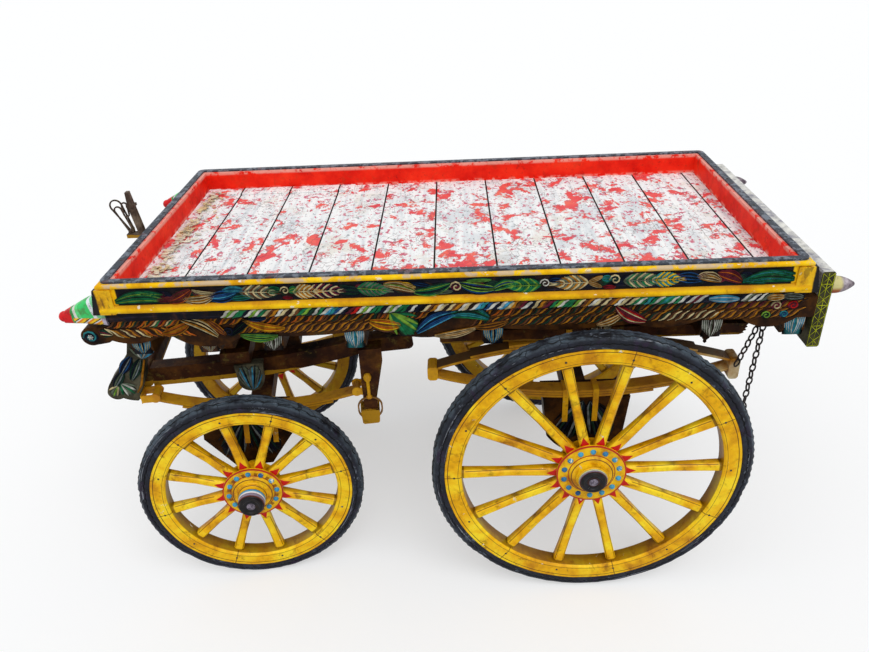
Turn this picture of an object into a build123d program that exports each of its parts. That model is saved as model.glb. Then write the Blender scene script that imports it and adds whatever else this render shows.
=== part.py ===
"""Four-wheeled draught cart: a shallow planked tray on a carved frame, with a steered fore-carriage.

Millimetres.  +X is forward, +Y is the cart's left and +Z is up.  The pieces are drawn with X = 0 under the
middle of the tray.  The fore-carriage is drawn straight and is then turned about the king pin to its parking
angle, and the whole cart is moved so that its origin lies on the ground under the middle of its length.
"""
from build123d import *
import os
from math import acos, asin, atan2, cos, hypot, pi, radians, sin, tan

# ---------------------------------------------------------------- driving dimensions
TRAY_LENGTH = 1800          # over the iron strap on the rim
TRAY_WIDTH = 914
RIM_HEIGHT = 1099           # top of the iron strap above the ground
STRAP_WIDTH = 20
STRAP_THICK = 5
STRAP_CORNER = 20           # corner radius of the strap

WALL_THICK = 32
WALL_DEPTH = 110            # top to bottom of a wall
WALL_BACKSET = 2            # a wall's plain face stands this far outside the strap
TOP_BEAD = 14               # height of the rounded moulding along the top
LOW_BEAD = 24
PANEL_DEPTH = 48            # height of the carved field between the mouldings
BEAD_PROUD = 6
LOW_BEAD_PROUD = 9
CORNER_PROUD = 30           # the corner blocks' feet before the end walls
CORNER_HEAD_PROUD = 16
CORNER_LEG = 31             # along the side wall

FLOOR_DROP = 70             # rim top to the planks
PLANK_THICK = 22
PLANK_WIDTH = 171.4
FRONT_PLANK_WIDTH = 131
PLANK_GAP = 2.4
PLANK_END_GAP = 1.0
STRINGER_WIDTH = 42
STRINGER_SPACING = 250

SILL_THICK = 45
SILL_DEPTH = 59
SILL_SETBACK = 14           # the sill's face behind the wall's plain face
APRON_THICK = 13
SILL_NOSE = 92              # how far the scrolled end runs before the tray
SILL_TAIL = 43
SCROLL_R = 27

BEARER_WIDTH = 58
BEARER_DEPTH = 62
DROP_BEARER = 6             # the bearer that turned drops hang under, counted from the front
DROP_R = 14
DROP_LENGTH = 38
BEARER_SETBACK = 17         # a bearer's end behind the sill's face
# along the tray, as shares of half its length
BEARER_SHARES = (0.939, 0.733, 0.539, 0.29, -0.124, -0.444, -0.767, -1.0067)

HORN_LENGTH = 140
HORN_BASE = 52
HORN_TIP_R = 15
POST_Y = 40                 # rein post left of the middle
POST_RISE = 96
POST_LEAN = 19
REIN_WIRE = 4
REIN_PIN_R = 4
SMALL_RING = (20, 48)       # width, height of the ring on the rein post
FINIAL_LENGTH = 75
FINIAL_R = 17
TAIL_BOARD_THICK = 34
TAIL_BOARD_HEIGHT = 222
TAIL_BOARD_RISE = 48        # rim top to the board's top

# ---------------------------------------------------------------- running gear
REAR_AXLE_SETBACK = 512     # from the tray's rear end
KING_SETBACK = 215          # from the tray's front end
REST_STEER = 7.13           # the fore-carriage is parked turned this far to the left
SEAT_GAP = 0.3              # between faces that turn on each other
RUNNING_CLEARANCE = 0.05    # round each axle journal and the king pin

TYRE_WIDTH = 56
TYRE_THICK = 37
TYRE_ROUND = 13
FELLOE_WIDTH = 54
FELLOE_CHAMFER = 6
JOURNAL_R = 19
AXLE_BAR = 40
AXLE_COLLAR_R = 30
AXLE_COLLAR_LENGTH = 4
NAVE_INNER = 84             # wheel's middle plane to the nave's inner end
NAVE_END_PLAY = 0.5
FLANGE_THICK = 7
SPOKE_FOOT = (33, 31)       # along the axle, round the rim
SPOKE_WAIST = (27, 25)
SPOKE_HEAD = (31, 31)
SPOKE_CHAMFER = 6

# one row for each axle: tyre radius, felloe depth, spokes, first spoke's angle, wheel's middle plane,
# flange radius, cap's end beyond the middle plane
REAR_WHEEL = dict(radius=460, felloe=50, spokes=14, phase=76.8, plane=479, flange_r=100, cap_end=65)
FORE_WHEEL = dict(radius=343, felloe=46, spokes=12, phase=79.7, plane=398, flange_r=92, cap_end=56)

LEAF_THICK = 8
LEAF_WIDTH = 44
LEAF_SHARES = (1.0, 0.74, 0.48)   # length of each leaf as a share of the main leaf

REAR_SPRING_HALF = 425
REAR_SPRING_SAG = 68
REAR_SPRING_Y = 338
REAR_SPRING_AHEAD = 18      # middle of the rear springs before the axle
REAR_JOINT_GAP = 15
HEAD_LENGTH = 30
HEAD_HEIGHT = 44
HEAD_TAIL = 24              # how far the rear heads hang below the front ones
REAR_BEAM_FORWARD = 422     # from the axle
REAR_BEAM_BACKWARD = 424
REAR_BEAM_WIDTH = 44
REAR_BEAM_DEPTH = 36
REAR_BLOCK_WIDTH = 255
REAR_BLOCK_FOOT = 130
CHEST_LENGTH = 92           # of each carved chest, along its axle
BED_WIDTH = 72
BED_DEPTH = 58

FORE_SPRING_U = -44         # middle of the spring, behind the king pin
FORE_SPRING_HALF = 300
FORE_SPRING_SAG = 46
FORE_SPRING_V = 287
FORE_SPRING_PITCH = 4.6     # degrees that the front eye is raised
EYE_R = 12                  # rolled eye at each end of a fore spring
HANGER_WALL = 5
CLIP_WIDTH = 16
CLIP_THICK = 5
CLIP_SPACING = 88
FORE_BLOCK_WIDTH = 280
FORE_BLOCK_FOOT = 114
FORE_BLOCK_SHOULDER = 0.61  # share of the chest's height at which the taper ends
CLIP_LEG = 0.5              # share of a chest's height that the clips' long legs lap
FORE_BEAM_V = 230
FORE_BEAM_WIDTH = 48
FORE_BEAM_BACK = -536
FORE_BEAM_DEPTH = 62
FORE_TAIL_DEPTH = 50
FORE_BEAM_SWEEP = 43        # how far the beam's tail rises
FORE_BEAM_DROP = 437        # rim top to the underside of the fore beams
CONSOLE_THICK = 54
CONSOLE_BACK = 290          # the foot's back face, before the king pin
CONSOLE_RISE = 186          # above the fore beams' underside
CONSOLE_FOOT_U = 328        # the shaft bolt
CONSOLE_FOOT_RISE = 30
CONSOLE_NOSE_U = 381        # the foot's foremost point
FORE_BEAM_FRONT = 262
BAR_WIDTH = 60
BAR_DEPTH = 62
POST_FRONT = -366           # the hanger post's front face, behind the king pin
POST_WIDTH = 70             # at the top
POST_NECK = 42
POST_FOOT_WIDTH = 60
POST_FOOT_HEIGHT = 50
POST_THICK = 50
SHOE_PROUD = 8
POST_RISE_OVER = 86         # hanger post's top above the fore beams' underside
POST_DROP = 183             # its foot below them
PENDANT_DROP = 33
PENDANT_U = -34
PENDANT_HALF = 43
FORE_SPRING_DROP = 36

BOLSTER_WIDTH = 86
UPPER_BOLSTER_HALF = 300
LOWER_BOLSTER_HALF = 286
RING_R = 205
RING_WIDTH = 46
RING_THICK = 8
KING_PIN_R = 16
KING_HEAD_R = 30
KING_HEAD_THICK = 12
SHAFT_BORE_R = 9

CHAIN_WIRE = 4
LINK_LENGTH = 30            # outside
LINK_WIDTH = 20
LINK_SLACK = 0.4
CHAIN_Y = 392
CHAIN_SETBACK = 44          # from the tray's rear end
CHAIN_DROP = 455

# ---------------------------------------------------------------- levels and faces that follow
KING_X = TRAY_LENGTH / 2 - KING_SETBACK
REAR_AXLE_X = REAR_AXLE_SETBACK - TRAY_LENGTH / 2
REAR_SPRING_X = REAR_AXLE_X + REAR_SPRING_AHEAD
REAR_BEAM_FRONT = REAR_AXLE_X + REAR_BEAM_FORWARD
REAR_BEAM_BACK = REAR_AXLE_X - REAR_BEAM_BACKWARD
BEARER_PLACES = [share * TRAY_LENGTH / 2 for share in BEARER_SHARES]
RIM_TOP = RIM_HEIGHT - STRAP_THICK
WALL_BOTTOM = RIM_TOP - WALL_DEPTH
WALL_OUT_Y = TRAY_WIDTH / 2 + WALL_BACKSET
WALL_OUT_X = TRAY_LENGTH / 2 + WALL_BACKSET
WALL_IN_Y = WALL_OUT_Y - WALL_THICK
WALL_IN_X = WALL_OUT_X - WALL_THICK
FLOOR_TOP = RIM_HEIGHT - FLOOR_DROP
FLOOR_BOTTOM = FLOOR_TOP - PLANK_THICK
SILL_OUT_Y = WALL_OUT_Y - SILL_SETBACK
SILL_IN_Y = SILL_OUT_Y - SILL_THICK
SILL_BOTTOM = WALL_BOTTOM - SILL_DEPTH
BEARER_BOTTOM = SILL_BOTTOM - BEARER_DEPTH
BEARER_HALF = SILL_OUT_Y - BEARER_SETBACK
TAIL_BOARD_FRONT = -(WALL_OUT_X + SILL_TAIL)
TAIL_BOARD_BACK = TAIL_BOARD_FRONT - TAIL_BOARD_THICK
REAR_BEAM_BOTTOM = BEARER_BOTTOM - REAR_BEAM_DEPTH
FORE_BEAM_LOW = RIM_HEIGHT - FORE_BEAM_DROP
CONSOLE_TOP = FORE_BEAM_LOW + CONSOLE_RISE
CONSOLE_FOOT_Z = FORE_BEAM_LOW + CONSOLE_FOOT_RISE
POST_TOP = FORE_BEAM_LOW + POST_RISE_OVER
POST_BOTTOM = FORE_BEAM_LOW - POST_DROP
LEAF_PACK = LEAF_THICK * len(LEAF_SHARES)
REAR_SPRING_OUT = REAR_SPRING_Y + LEAF_WIDTH / 2
FORE_SPRING_OUT = FORE_SPRING_V + LEAF_WIDTH / 2


# ---------------------------------------------------------------- small helpers
def block(x, y, z):
    """A box from its (low, high) pairs along X, Y and Z."""
    size = [high - low for low, high in (x, y, z)]
    middle = [(high + low) / 2 for low, high in (x, y, z)]
    return Pos(*middle) * Box(*size)


def along_y(face, low, high):
    """Extrude a face drawn as (x, z) from Y = low to Y = high."""
    plane = Plane(origin=(0, high, 0), x_dir=(1, 0, 0), z_dir=(0, -1, 0))
    return extrude(plane * face, amount=high - low)


def along_x(face, low, high):
    """Extrude a face drawn as (y, z) from X = low to X = high."""
    plane = Plane(origin=(low, 0, 0), x_dir=(0, 1, 0), z_dir=(1, 0, 0))
    return extrude(plane * face, amount=high - low)


def polygon(*points):
    return make_face(Polyline(*points, close=True))


def both_sides(shape):
    """A left-hand piece and its right-hand twin."""
    return [shape, mirror(shape, about=Plane.XZ)]


def turned(shapes):
    """Pieces of the fore-carriage, turned about the king pin to the parking angle."""
    return [shape.rotate(Axis((KING_X, 0, 0), (0, 0, 1)), REST_STEER) for shape in as_list(shapes)]


def as_list(shapes):
    return list(shapes) if isinstance(shapes, (list, tuple)) else [shapes]


# ---------------------------------------------------------------- tray
def wall_profile():
    """Section through a wall as (outward, up) from the wall's inner bottom edge."""
    bead_low = WALL_DEPTH - TOP_BEAD
    low_top = bead_low - PANEL_DEPTH
    low_low = low_top - LOW_BEAD
    t = WALL_THICK
    edges = [
        Line((0, 0), (0, WALL_DEPTH)),
        Line((0, WALL_DEPTH), (t, WALL_DEPTH)),
        ThreePointArc((t, WALL_DEPTH), (t + BEAD_PROUD, WALL_DEPTH - TOP_BEAD / 2), (t, bead_low)),
        Line((t, bead_low), (t, low_top)),
        ThreePointArc((t, low_top), (t + LOW_BEAD_PROUD, low_top - LOW_BEAD / 2), (t, low_low)),
        Line((t, low_low), (t, 0)),
        Line((t, 0), (0, 0)),
    ]
    return make_face(edges)


def mitre(half_x, half_y, reach):
    """A wedge that keeps what lies nearer +Y than the corner diagonals of the inner rectangle."""
    low, high = WALL_BOTTOM - 1, RIM_TOP + 1
    wedge = polygon((-half_x, half_y), (half_x, half_y), (half_x + reach, half_y + reach),
                    (-half_x - reach, half_y + reach))
    return Pos(0, 0, low) * extrude(wedge, amount=high - low)


def walls():
    """Left and right walls, then front and rear walls, mitred where they meet."""
    reach = WALL_THICK + BEAD_PROUD + 4
    section = wall_profile()
    side = along_x(Pos(WALL_IN_Y, WALL_BOTTOM) * section, -WALL_IN_X - reach, WALL_IN_X + reach)
    side = side & mitre(WALL_IN_X, WALL_IN_Y, reach)
    end = along_x(Pos(WALL_IN_X, WALL_BOTTOM) * section, -WALL_IN_Y - reach, WALL_IN_Y + reach)
    end = (end & mitre(WALL_IN_Y, WALL_IN_X, reach)).rotate(Axis.Z, -90)
    return both_sides(side), [end, end.rotate(Axis.Z, 180)]


def rim_strap():
    outer = RectangleRounded(TRAY_LENGTH, TRAY_WIDTH, STRAP_CORNER)
    inner = Rectangle(TRAY_LENGTH - 2 * STRAP_WIDTH, TRAY_WIDTH - 2 * STRAP_WIDTH)
    return Pos(0, 0, RIM_TOP) * extrude(outer - inner, amount=STRAP_THICK)


def corner_blocks():
    """Blocks that lap each corner between the mouldings and lean out towards their feet."""
    top = RIM_TOP - TOP_BEAD - 1
    bottom = RIM_TOP - TOP_BEAD - PANEL_DEPTH - LOW_BEAD
    x, y = WALL_OUT_X, WALL_OUT_Y
    side = polygon((x - CORNER_LEG, bottom), (x + CORNER_PROUD, bottom), (x + CORNER_HEAD_PROUD, top),
                   (x - CORNER_LEG, top))
    corner = along_y(side, y - CORNER_LEG, y + BEAD_PROUD)
    side_walls, end_walls = walls()
    corner = corner - side_walls[0] - end_walls[0]
    rear = both_sides(mirror(corner, about=Plane.YZ))
    front = both_sides(corner - front_horns()[0])
    return front + rear


def planks():
    """Floor boards laid across the tray; the last one is ripped to what is left."""
    pieces = []
    front = WALL_IN_X - PLANK_END_GAP
    width = FRONT_PLANK_WIDTH
    while front - width > -WALL_IN_X:
        pieces.append((front - width, front))
        front -= width + PLANK_GAP
        width = PLANK_WIDTH
    if front > -WALL_IN_X + PLANK_THICK:
        pieces.append((-WALL_IN_X + PLANK_END_GAP, front))
    half = WALL_IN_Y
    return [block(span, (-half, half), (FLOOR_BOTTOM, FLOOR_TOP)) for span in pieces]


def stringers():
    """Lengthwise timbers between the cross-bearers and the planks."""
    pieces = []
    for y in (-STRINGER_SPACING, 0, STRINGER_SPACING):
        span_y = (y - STRINGER_WIDTH / 2, y + STRINGER_WIDTH / 2)
        pieces.append(block((-WALL_IN_X, WALL_IN_X), span_y, (SILL_BOTTOM, FLOOR_BOTTOM)))
    return pieces


def sill():
    """Left sill: a rail under the wall, with a scrolled nose and a carved apron of hanging leaves."""
    nose = WALL_OUT_X + SILL_NOSE - SCROLL_R
    scroll_z = SILL_BOTTOM + 8
    rail = block((TAIL_BOARD_FRONT, WALL_OUT_X + 1), (SILL_IN_Y, SILL_OUT_Y), (SILL_BOTTOM, WALL_BOTTOM))
    neck = polygon((WALL_OUT_X, SILL_BOTTOM), (WALL_OUT_X, WALL_BOTTOM - 26), (nose, scroll_z + SCROLL_R),
                   (nose, scroll_z - SCROLL_R), (WALL_OUT_X + 20, SILL_BOTTOM - 12))
    head = Pos(nose, scroll_z) * Circle(SCROLL_R)
    end = along_y(neck + head, SILL_IN_Y, SILL_OUT_Y)
    # hanging leaves of the apron: middle, half-length, drop below the rail
    leaves = ((855, 70, 18), (650, 95, 34), (400, 150, 10), (60, 120, 26), (-300, 210, 14), (-560, 90, 18),
              (-830, 70, 26))
    apron = None
    for middle, half, drop in leaves:
        leaf = make_face([
            Line((middle - half, SILL_BOTTOM + 12), (middle - half, SILL_BOTTOM)),
            ThreePointArc((middle - half, SILL_BOTTOM), (middle, SILL_BOTTOM - drop),
                          (middle + half, SILL_BOTTOM)),
            Line((middle + half, SILL_BOTTOM), (middle + half, SILL_BOTTOM + 12)),
            Line((middle + half, SILL_BOTTOM + 12), (middle - half, SILL_BOTTOM + 12)),
        ])
        leaf = along_y(leaf, SILL_OUT_Y - APRON_THICK, SILL_OUT_Y)
        apron = leaf if apron is None else apron + leaf
    return rail + end + apron


def bearers():
    """Cross-bearers; the underside of each end is rounded up like a leaf."""
    round_up = 16
    half, low, high = BEARER_HALF, BEARER_BOTTOM, SILL_BOTTOM
    section = make_face([
        Line((-half, high), (half, high)),
        Line((half, high), (half, low + round_up)),
        ThreePointArc((half, low + round_up), (half - 5, low + 5), (half - round_up, low)),
        Line((half - round_up, low), (-half + round_up, low)),
        ThreePointArc((-half + round_up, low), (-half + 5, low + 5), (-half, low + round_up)),
        Line((-half, low + round_up), (-half, high)),
    ])
    pieces = [along_x(section, x - BEARER_WIDTH / 2, x + BEARER_WIDTH / 2) for x in BEARER_PLACES]
    r, length = DROP_R, DROP_LENGTH
    profile = polygon((0, 2), (r, 2), (r, -4), (r * 0.6, -length * 0.3), (r * 0.8, -length * 0.45),
                      (r * 0.3, -length * 0.7), (r * 0.36, -length * 0.85), (0, -length))
    drop = revolve(Plane.XZ * profile, Axis.Z)
    for side in (-1, 1):
        place = Pos(BEARER_PLACES[DROP_BEARER], side * (half - DROP_R - round_up), low)
        pieces[DROP_BEARER] = pieces[DROP_BEARER] + place * drop
    return pieces


def front_horns():
    """Tapering horns that stand out before the front wall, on the sills' noses."""
    y = SILL_OUT_Y - SILL_THICK / 2
    seat = WALL_BOTTOM - 24
    start = WALL_OUT_X + LOW_BEAD_PROUD
    # share of the length, width, height, middle's height above the seat
    stations = ((0.0, HORN_BASE, 100, 52), (0.45, 44, 62, 40), (0.85, 30, 32, 26))
    sections = []
    for share, wide, high, rise in stations:
        plane = Plane(origin=(start + share * HORN_LENGTH, y, seat + rise), x_dir=(0, 1, 0), z_dir=(1, 0, 0))
        sections.append(plane * RectangleRounded(wide, high, 0.3 * min(wide, high)))
    horn = loft(sections, ruled=True)
    tip_x = WALL_OUT_X + BEAD_PROUD + HORN_LENGTH - HORN_TIP_R
    tip = Pos(tip_x, y, seat + 26) * Sphere(HORN_TIP_R)
    return both_sides(horn + tip)


def teardrop(foot, foot_r, head, head_r):
    """Outline round two circles, narrower at the foot, as one face in (x, z)."""
    run_x, run_z = head[0] - foot[0], head[1] - foot[1]
    heading = atan2(run_z, run_x)
    lean = acos((foot_r - head_r) / hypot(run_x, run_z))

    def at(centre, radius, angle):
        return (centre[0] + radius * cos(angle), centre[1] + radius * sin(angle))

    left, right = heading + lean, heading - lean
    return make_face([
        Line(at(foot, foot_r, right), at(head, head_r, right)),
        ThreePointArc(at(head, head_r, right), at(head, head_r, heading), at(head, head_r, left)),
        Line(at(head, head_r, left), at(foot, foot_r, left)),
        ThreePointArc(at(foot, foot_r, left), at(foot, foot_r, heading + pi), at(foot, foot_r, right)),
    ])


def rein_loops(pin_x, pin_z, low_y):
    """Two long wire loops that stand on a pin, and a small ring beside them."""
    wire, gap = REIN_WIRE, 5
    pieces = None
    for number, (reach, rise, head_r) in enumerate(((31, 77, 20), (24, 66, 13))):
        foot, head, foot_r = (pin_x, pin_z), (pin_x + reach, pin_z + rise), REIN_PIN_R + wire
        face = teardrop(foot, foot_r, head, head_r) - teardrop(foot, REIN_PIN_R, head, head_r - wire)
        start = low_y + 2 + number * (wire + gap)
        loop = along_y(face, start, start + wire)
        pieces = loop if pieces is None else pieces + loop
    return pieces


def rein_post():
    """Upright iron post before the front wall, on a bracket that also carries the rein loops."""
    face, proud = WALL_OUT_X, WALL_OUT_X + BEAD_PROUD + 1
    field_top = RIM_TOP - TOP_BEAD
    middle, half, thick = POST_Y, 22, 9
    shelf, shelf_low = RIM_HEIGHT - 35, RIM_HEIGHT - 47
    foot = block((face, proud), (middle - half, middle + half), (field_top - PANEL_DEPTH + 1, field_top - 1))
    arm = block((proud - 1, proud + 76), (middle - 14, middle + 14), (shelf_low, shelf))
    base, tip, top = proud + 22, proud + 22 + POST_LEAN, RIM_HEIGHT + POST_RISE
    neck = RIM_HEIGHT + 50
    bar = polygon((base, shelf), (base + 18, shelf), (tip + 12, neck), (tip + 11, top), (tip + 1, top),
                  (tip - 6, neck))
    collar = block((tip - 9, tip + 15), (middle - 13, middle + 13), (neck, neck + 8))
    pin_x, pin_z = proud + 64, shelf + REIN_PIN_R + REIN_WIRE
    pin = Pos(pin_x, middle, pin_z) * Rot(90, 0, 0) * Cylinder(REIN_PIN_R, 28)
    lug = block((pin_x - 6, pin_x + 6), (middle - 14, middle - 12), (shelf, pin_z + 6))
    ring_x = tip + 12 + SMALL_RING[0] / 2
    wide, high, bend = *SMALL_RING, SMALL_RING[0] / 2.1
    hole = RectangleRounded(wide - 2 * REIN_WIRE, high - 2 * REIN_WIRE, bend - REIN_WIRE)
    ring = Pos(ring_x, neck - 8) * (RectangleRounded(wide, high, bend) - hole)
    upright = along_y(bar, middle - thick, middle + thick)
    hanging = along_y(ring, middle + 4, middle + 4 + REIN_WIRE)
    return foot + arm + upright + collar + pin + lug + hanging + rein_loops(pin_x, pin_z, middle - 12)


def tail_board():
    top = RIM_HEIGHT - TAIL_BOARD_RISE
    half = SILL_OUT_Y - 6
    board = block((TAIL_BOARD_BACK, TAIL_BOARD_FRONT), (-half, half), (top - TAIL_BOARD_HEIGHT, top))
    return chamfer(board.edges().filter_by(Axis.Y), 4)


def tail_finials():
    """Turned points on the tail board's back."""
    y, z = SILL_OUT_Y - 45, RIM_HEIGHT - TAIL_BOARD_RISE - 56
    r, n = FINIAL_R, FINIAL_LENGTH
    profile = polygon((0, 0), (r * 0.8, 0), (r, n * 0.2), (r * 0.6, n * 0.34), (r * 0.94, n * 0.5), (0, n))
    turned_point = revolve(profile, Axis.Y)
    point = Pos(TAIL_BOARD_BACK, y, z) * Rot(0, 0, 90) * turned_point
    return both_sides(point)


# ---------------------------------------------------------------- springs
def leaf_pack(middle_x, half, sag, end_z, arched_up):
    """Graduated leaves as one face in (x, z): the main leaf's hollow side ends at end_z."""
    radius = (half * half + sag * sag) / (2 * sag)
    side = 1 if arched_up else -1
    centre_z = end_z + side * (sag - radius)
    whole = asin(half / radius)
    pack = None
    for number, share in enumerate(LEAF_SHARES):
        inner = radius + number * LEAF_THICK
        outer = inner + LEAF_THICK
        reach = whole * share

        def at(r, angle):
            return (middle_x + r * sin(angle), centre_z + side * r * cos(angle))

        strip = make_face([
            ThreePointArc(at(inner, -reach), at(inner, 0), at(inner, reach)),
            Line(at(inner, reach), at(outer, reach)),
            ThreePointArc(at(outer, reach), at(outer, 0), at(outer, -reach)),
            Line(at(outer, -reach), at(inner, -reach)),
        ])
        pack = strip if pack is None else pack + strip
    return pack


def spring_pair(face, middle_y):
    low = middle_y - LEAF_WIDTH / 2
    return both_sides(along_y(face, low, low + LEAF_WIDTH))


REAR_UPPER_END = REAR_BEAM_BOTTOM - LEAF_PACK - REAR_SPRING_SAG
REAR_LOWER_END = REAR_UPPER_END - REAR_JOINT_GAP
REAR_BLOCK_TOP = REAR_LOWER_END - REAR_SPRING_SAG - LEAF_PACK
REAR_AXLE_Z = REAR_WHEEL["radius"]
FORE_AXLE_Z = FORE_WHEEL["radius"]


def rear_pack_faces():
    upper = leaf_pack(REAR_SPRING_X, REAR_SPRING_HALF, REAR_SPRING_SAG, REAR_UPPER_END, True)
    lower = leaf_pack(REAR_SPRING_X, REAR_SPRING_HALF, REAR_SPRING_SAG, REAR_LOWER_END, False)
    return upper, lower


def rear_springs():
    upper, lower = rear_pack_faces()
    return spring_pair(upper, REAR_SPRING_Y), spring_pair(lower, REAR_SPRING_Y)


def spring_heads():
    """Blocks with cheek plates that hold the ends of the upper and lower leaves together."""
    middle_z = (REAR_UPPER_END + REAR_LOWER_END) / 2
    low, high = REAR_SPRING_Y - LEAF_WIDTH / 2, REAR_SPRING_Y + LEAF_WIDTH / 2
    upper, lower = rear_pack_faces()
    leaves = along_y(upper, low, high) + along_y(lower, low, high)
    heads = []
    for end in (-1, 1):
        x = REAR_SPRING_X + end * (REAR_SPRING_HALF + 4)
        tail = HEAD_TAIL if end < 0 else 0
        rounded = RectangleRounded(HEAD_LENGTH, HEAD_HEIGHT + tail, HEAD_LENGTH / 3)
        outline = Pos(x, middle_z - tail / 2) * rounded
        head = along_y(outline, low - HANGER_WALL, high + HANGER_WALL) - leaves
        heads += both_sides(head)
    return heads


def rear_blocks():
    """Carved chests under the rear springs, each cut out below to straddle the axle bar."""
    x, top, bar = REAR_AXLE_X, REAR_BLOCK_TOP, REAR_AXLE_Z + AXLE_BAR / 2
    w, f = REAR_BLOCK_WIDTH / 2, REAR_BLOCK_FOOT / 2
    low = REAR_AXLE_Z - AXLE_BAR / 2
    slot = AXLE_BAR / 2
    face = make_face([
        Line((x - w, top), (x + w, top)),
        Line((x + w, top), (x + w - 14, bar + 10)),
        ThreePointArc((x + w - 14, bar + 10), (x + f + 18, low + 14), (x + f, low)),
        Line((x + f, low), (x + slot, low)),
        Line((x + slot, low), (x + slot, bar)),
        Line((x + slot, bar), (x - slot, bar)),
        Line((x - slot, bar), (x - slot, low)),
        Line((x - slot, low), (x - f, low)),
        ThreePointArc((x - f, low), (x - f - 18, low + 14), (x - w + 14, bar + 10)),
        Line((x - w + 14, bar + 10), (x - w, top)),
    ])
    return both_sides(along_y(face, REAR_SPRING_OUT - CHEST_LENGTH, REAR_SPRING_OUT))


def axle_bed(middle_x, axle_z, spring_out):
    """Timber on top of an axle bar, between the two chests."""
    low = axle_z + AXLE_BAR / 2
    half = spring_out - CHEST_LENGTH
    return block((middle_x - BED_WIDTH / 2, middle_x + BED_WIDTH / 2), (-half, half), (low, low + BED_DEPTH))


def axle(middle_x, axle_z, wheel):
    """Square bar with round collars and journals, modelled for both wheels at once."""
    collar_end = wheel["plane"] - NAVE_INNER - NAVE_END_PLAY
    bar_half = collar_end - AXLE_COLLAR_LENGTH
    end = wheel["plane"] + wheel["cap_end"] - 12
    bar = Pos(middle_x, 0, axle_z) * Box(AXLE_BAR, 2 * bar_half, AXLE_BAR)
    across = Pos(middle_x, 0, axle_z) * Rot(90, 0, 0)
    collars = across * Cylinder(AXLE_COLLAR_R, 2 * collar_end)
    journals = across * Cylinder(JOURNAL_R, 2 * end)
    gap = Pos(middle_x, 0, axle_z) * Box(4 * AXLE_COLLAR_R, 2 * bar_half, 4 * AXLE_COLLAR_R)
    return bar + (collars - gap) + journals


def pack_rise(half, sag):
    """How far a leaf pack curves away from its middle under the outer edge of a clip."""
    radius = (half * half + sag * sag) / (2 * sag)
    reach = (CLIP_SPACING + CLIP_WIDTH) / 2
    return radius - (radius * radius - reach * reach) ** 0.5


def clips(middle_x, spring_y, seat_z, leg_z, rise, downward):
    """Straps over a leaf pack, with a long outer leg on the timber's end and a short inner one."""
    side = -1 if downward else 1
    pieces = []
    inner, outer = spring_y - LEAF_WIDTH / 2, spring_y + LEAF_WIDTH / 2
    over = seat_z - side * (LEAF_PACK + rise)
    top = over - side * CLIP_THICK
    for offset in (-CLIP_SPACING / 2, CLIP_SPACING / 2):
        span = (middle_x + offset - CLIP_WIDTH / 2, middle_x + offset + CLIP_WIDTH / 2)
        bridge = block(span, (inner - CLIP_THICK, outer + CLIP_THICK), tuple(sorted((over, top))))
        short = block(span, (inner - CLIP_THICK, inner), tuple(sorted((top, seat_z))))
        long = block(span, (outer, outer + CLIP_THICK), tuple(sorted((top, leg_z))))
        pieces.append(bridge + short + long)
    return pieces


def check_strap():
    """Leaning strap inside the rear spring, from the beam to the axle chest."""
    low, high = REAR_BLOCK_TOP, REAR_BEAM_BOTTOM
    x_low, x_high = REAR_AXLE_X + 20, REAR_AXLE_X + 84
    face = polygon((x_low, low), (x_low + 30, low), (x_high + 30, high), (x_high, high))
    y = REAR_SPRING_Y - LEAF_WIDTH / 2
    return along_y(face, y - 20, y - 10)


def rear_beam():
    """Lengthwise timber under the bearers; its tail is cut back in steps."""
    low, high = REAR_BEAM_BOTTOM, BEARER_BOTTOM
    back, front, step = REAR_BEAM_BACK, REAR_BEAM_FRONT, REAR_BEAM_DEPTH / 4
    face = polygon((back - 8, high), (back, high - step), (back - 5, high - 1.4 * step),
                   (back + 4, high - 2 * step),
                   (back - 3, high - 2.5 * step), (back + 9, high - 3 * step), (back + 3, high - 3.4 * step),
                   (back + 16, low), (front - 6, low), (front, low + 6), (front, high))
    middle = REAR_SPRING_Y
    return along_y(face, middle - REAR_BEAM_WIDTH / 2, middle + REAR_BEAM_WIDTH / 2)


# ---------------------------------------------------------------- fore-carriage
FORE_BLOCK_BOTTOM = FORE_AXLE_Z + AXLE_BAR / 2
FORE_SPRING_END = FORE_BEAM_LOW - FORE_SPRING_DROP
FORE_BLOCK_TOP = FORE_SPRING_END - FORE_SPRING_SAG - LEAF_PACK
FORE_BEAM_TOP = FORE_BEAM_LOW + FORE_BEAM_DEPTH
LOWER_BOLSTER_DEPTH = 46
LOWER_BOLSTER_TOP = FORE_BEAM_TOP + LOWER_BOLSTER_DEPTH
RING_LOW = LOWER_BOLSTER_TOP
UPPER_RING_LOW = RING_LOW + RING_THICK + SEAT_GAP
UPPER_BOLSTER_LOW = UPPER_RING_LOW + RING_THICK


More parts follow.
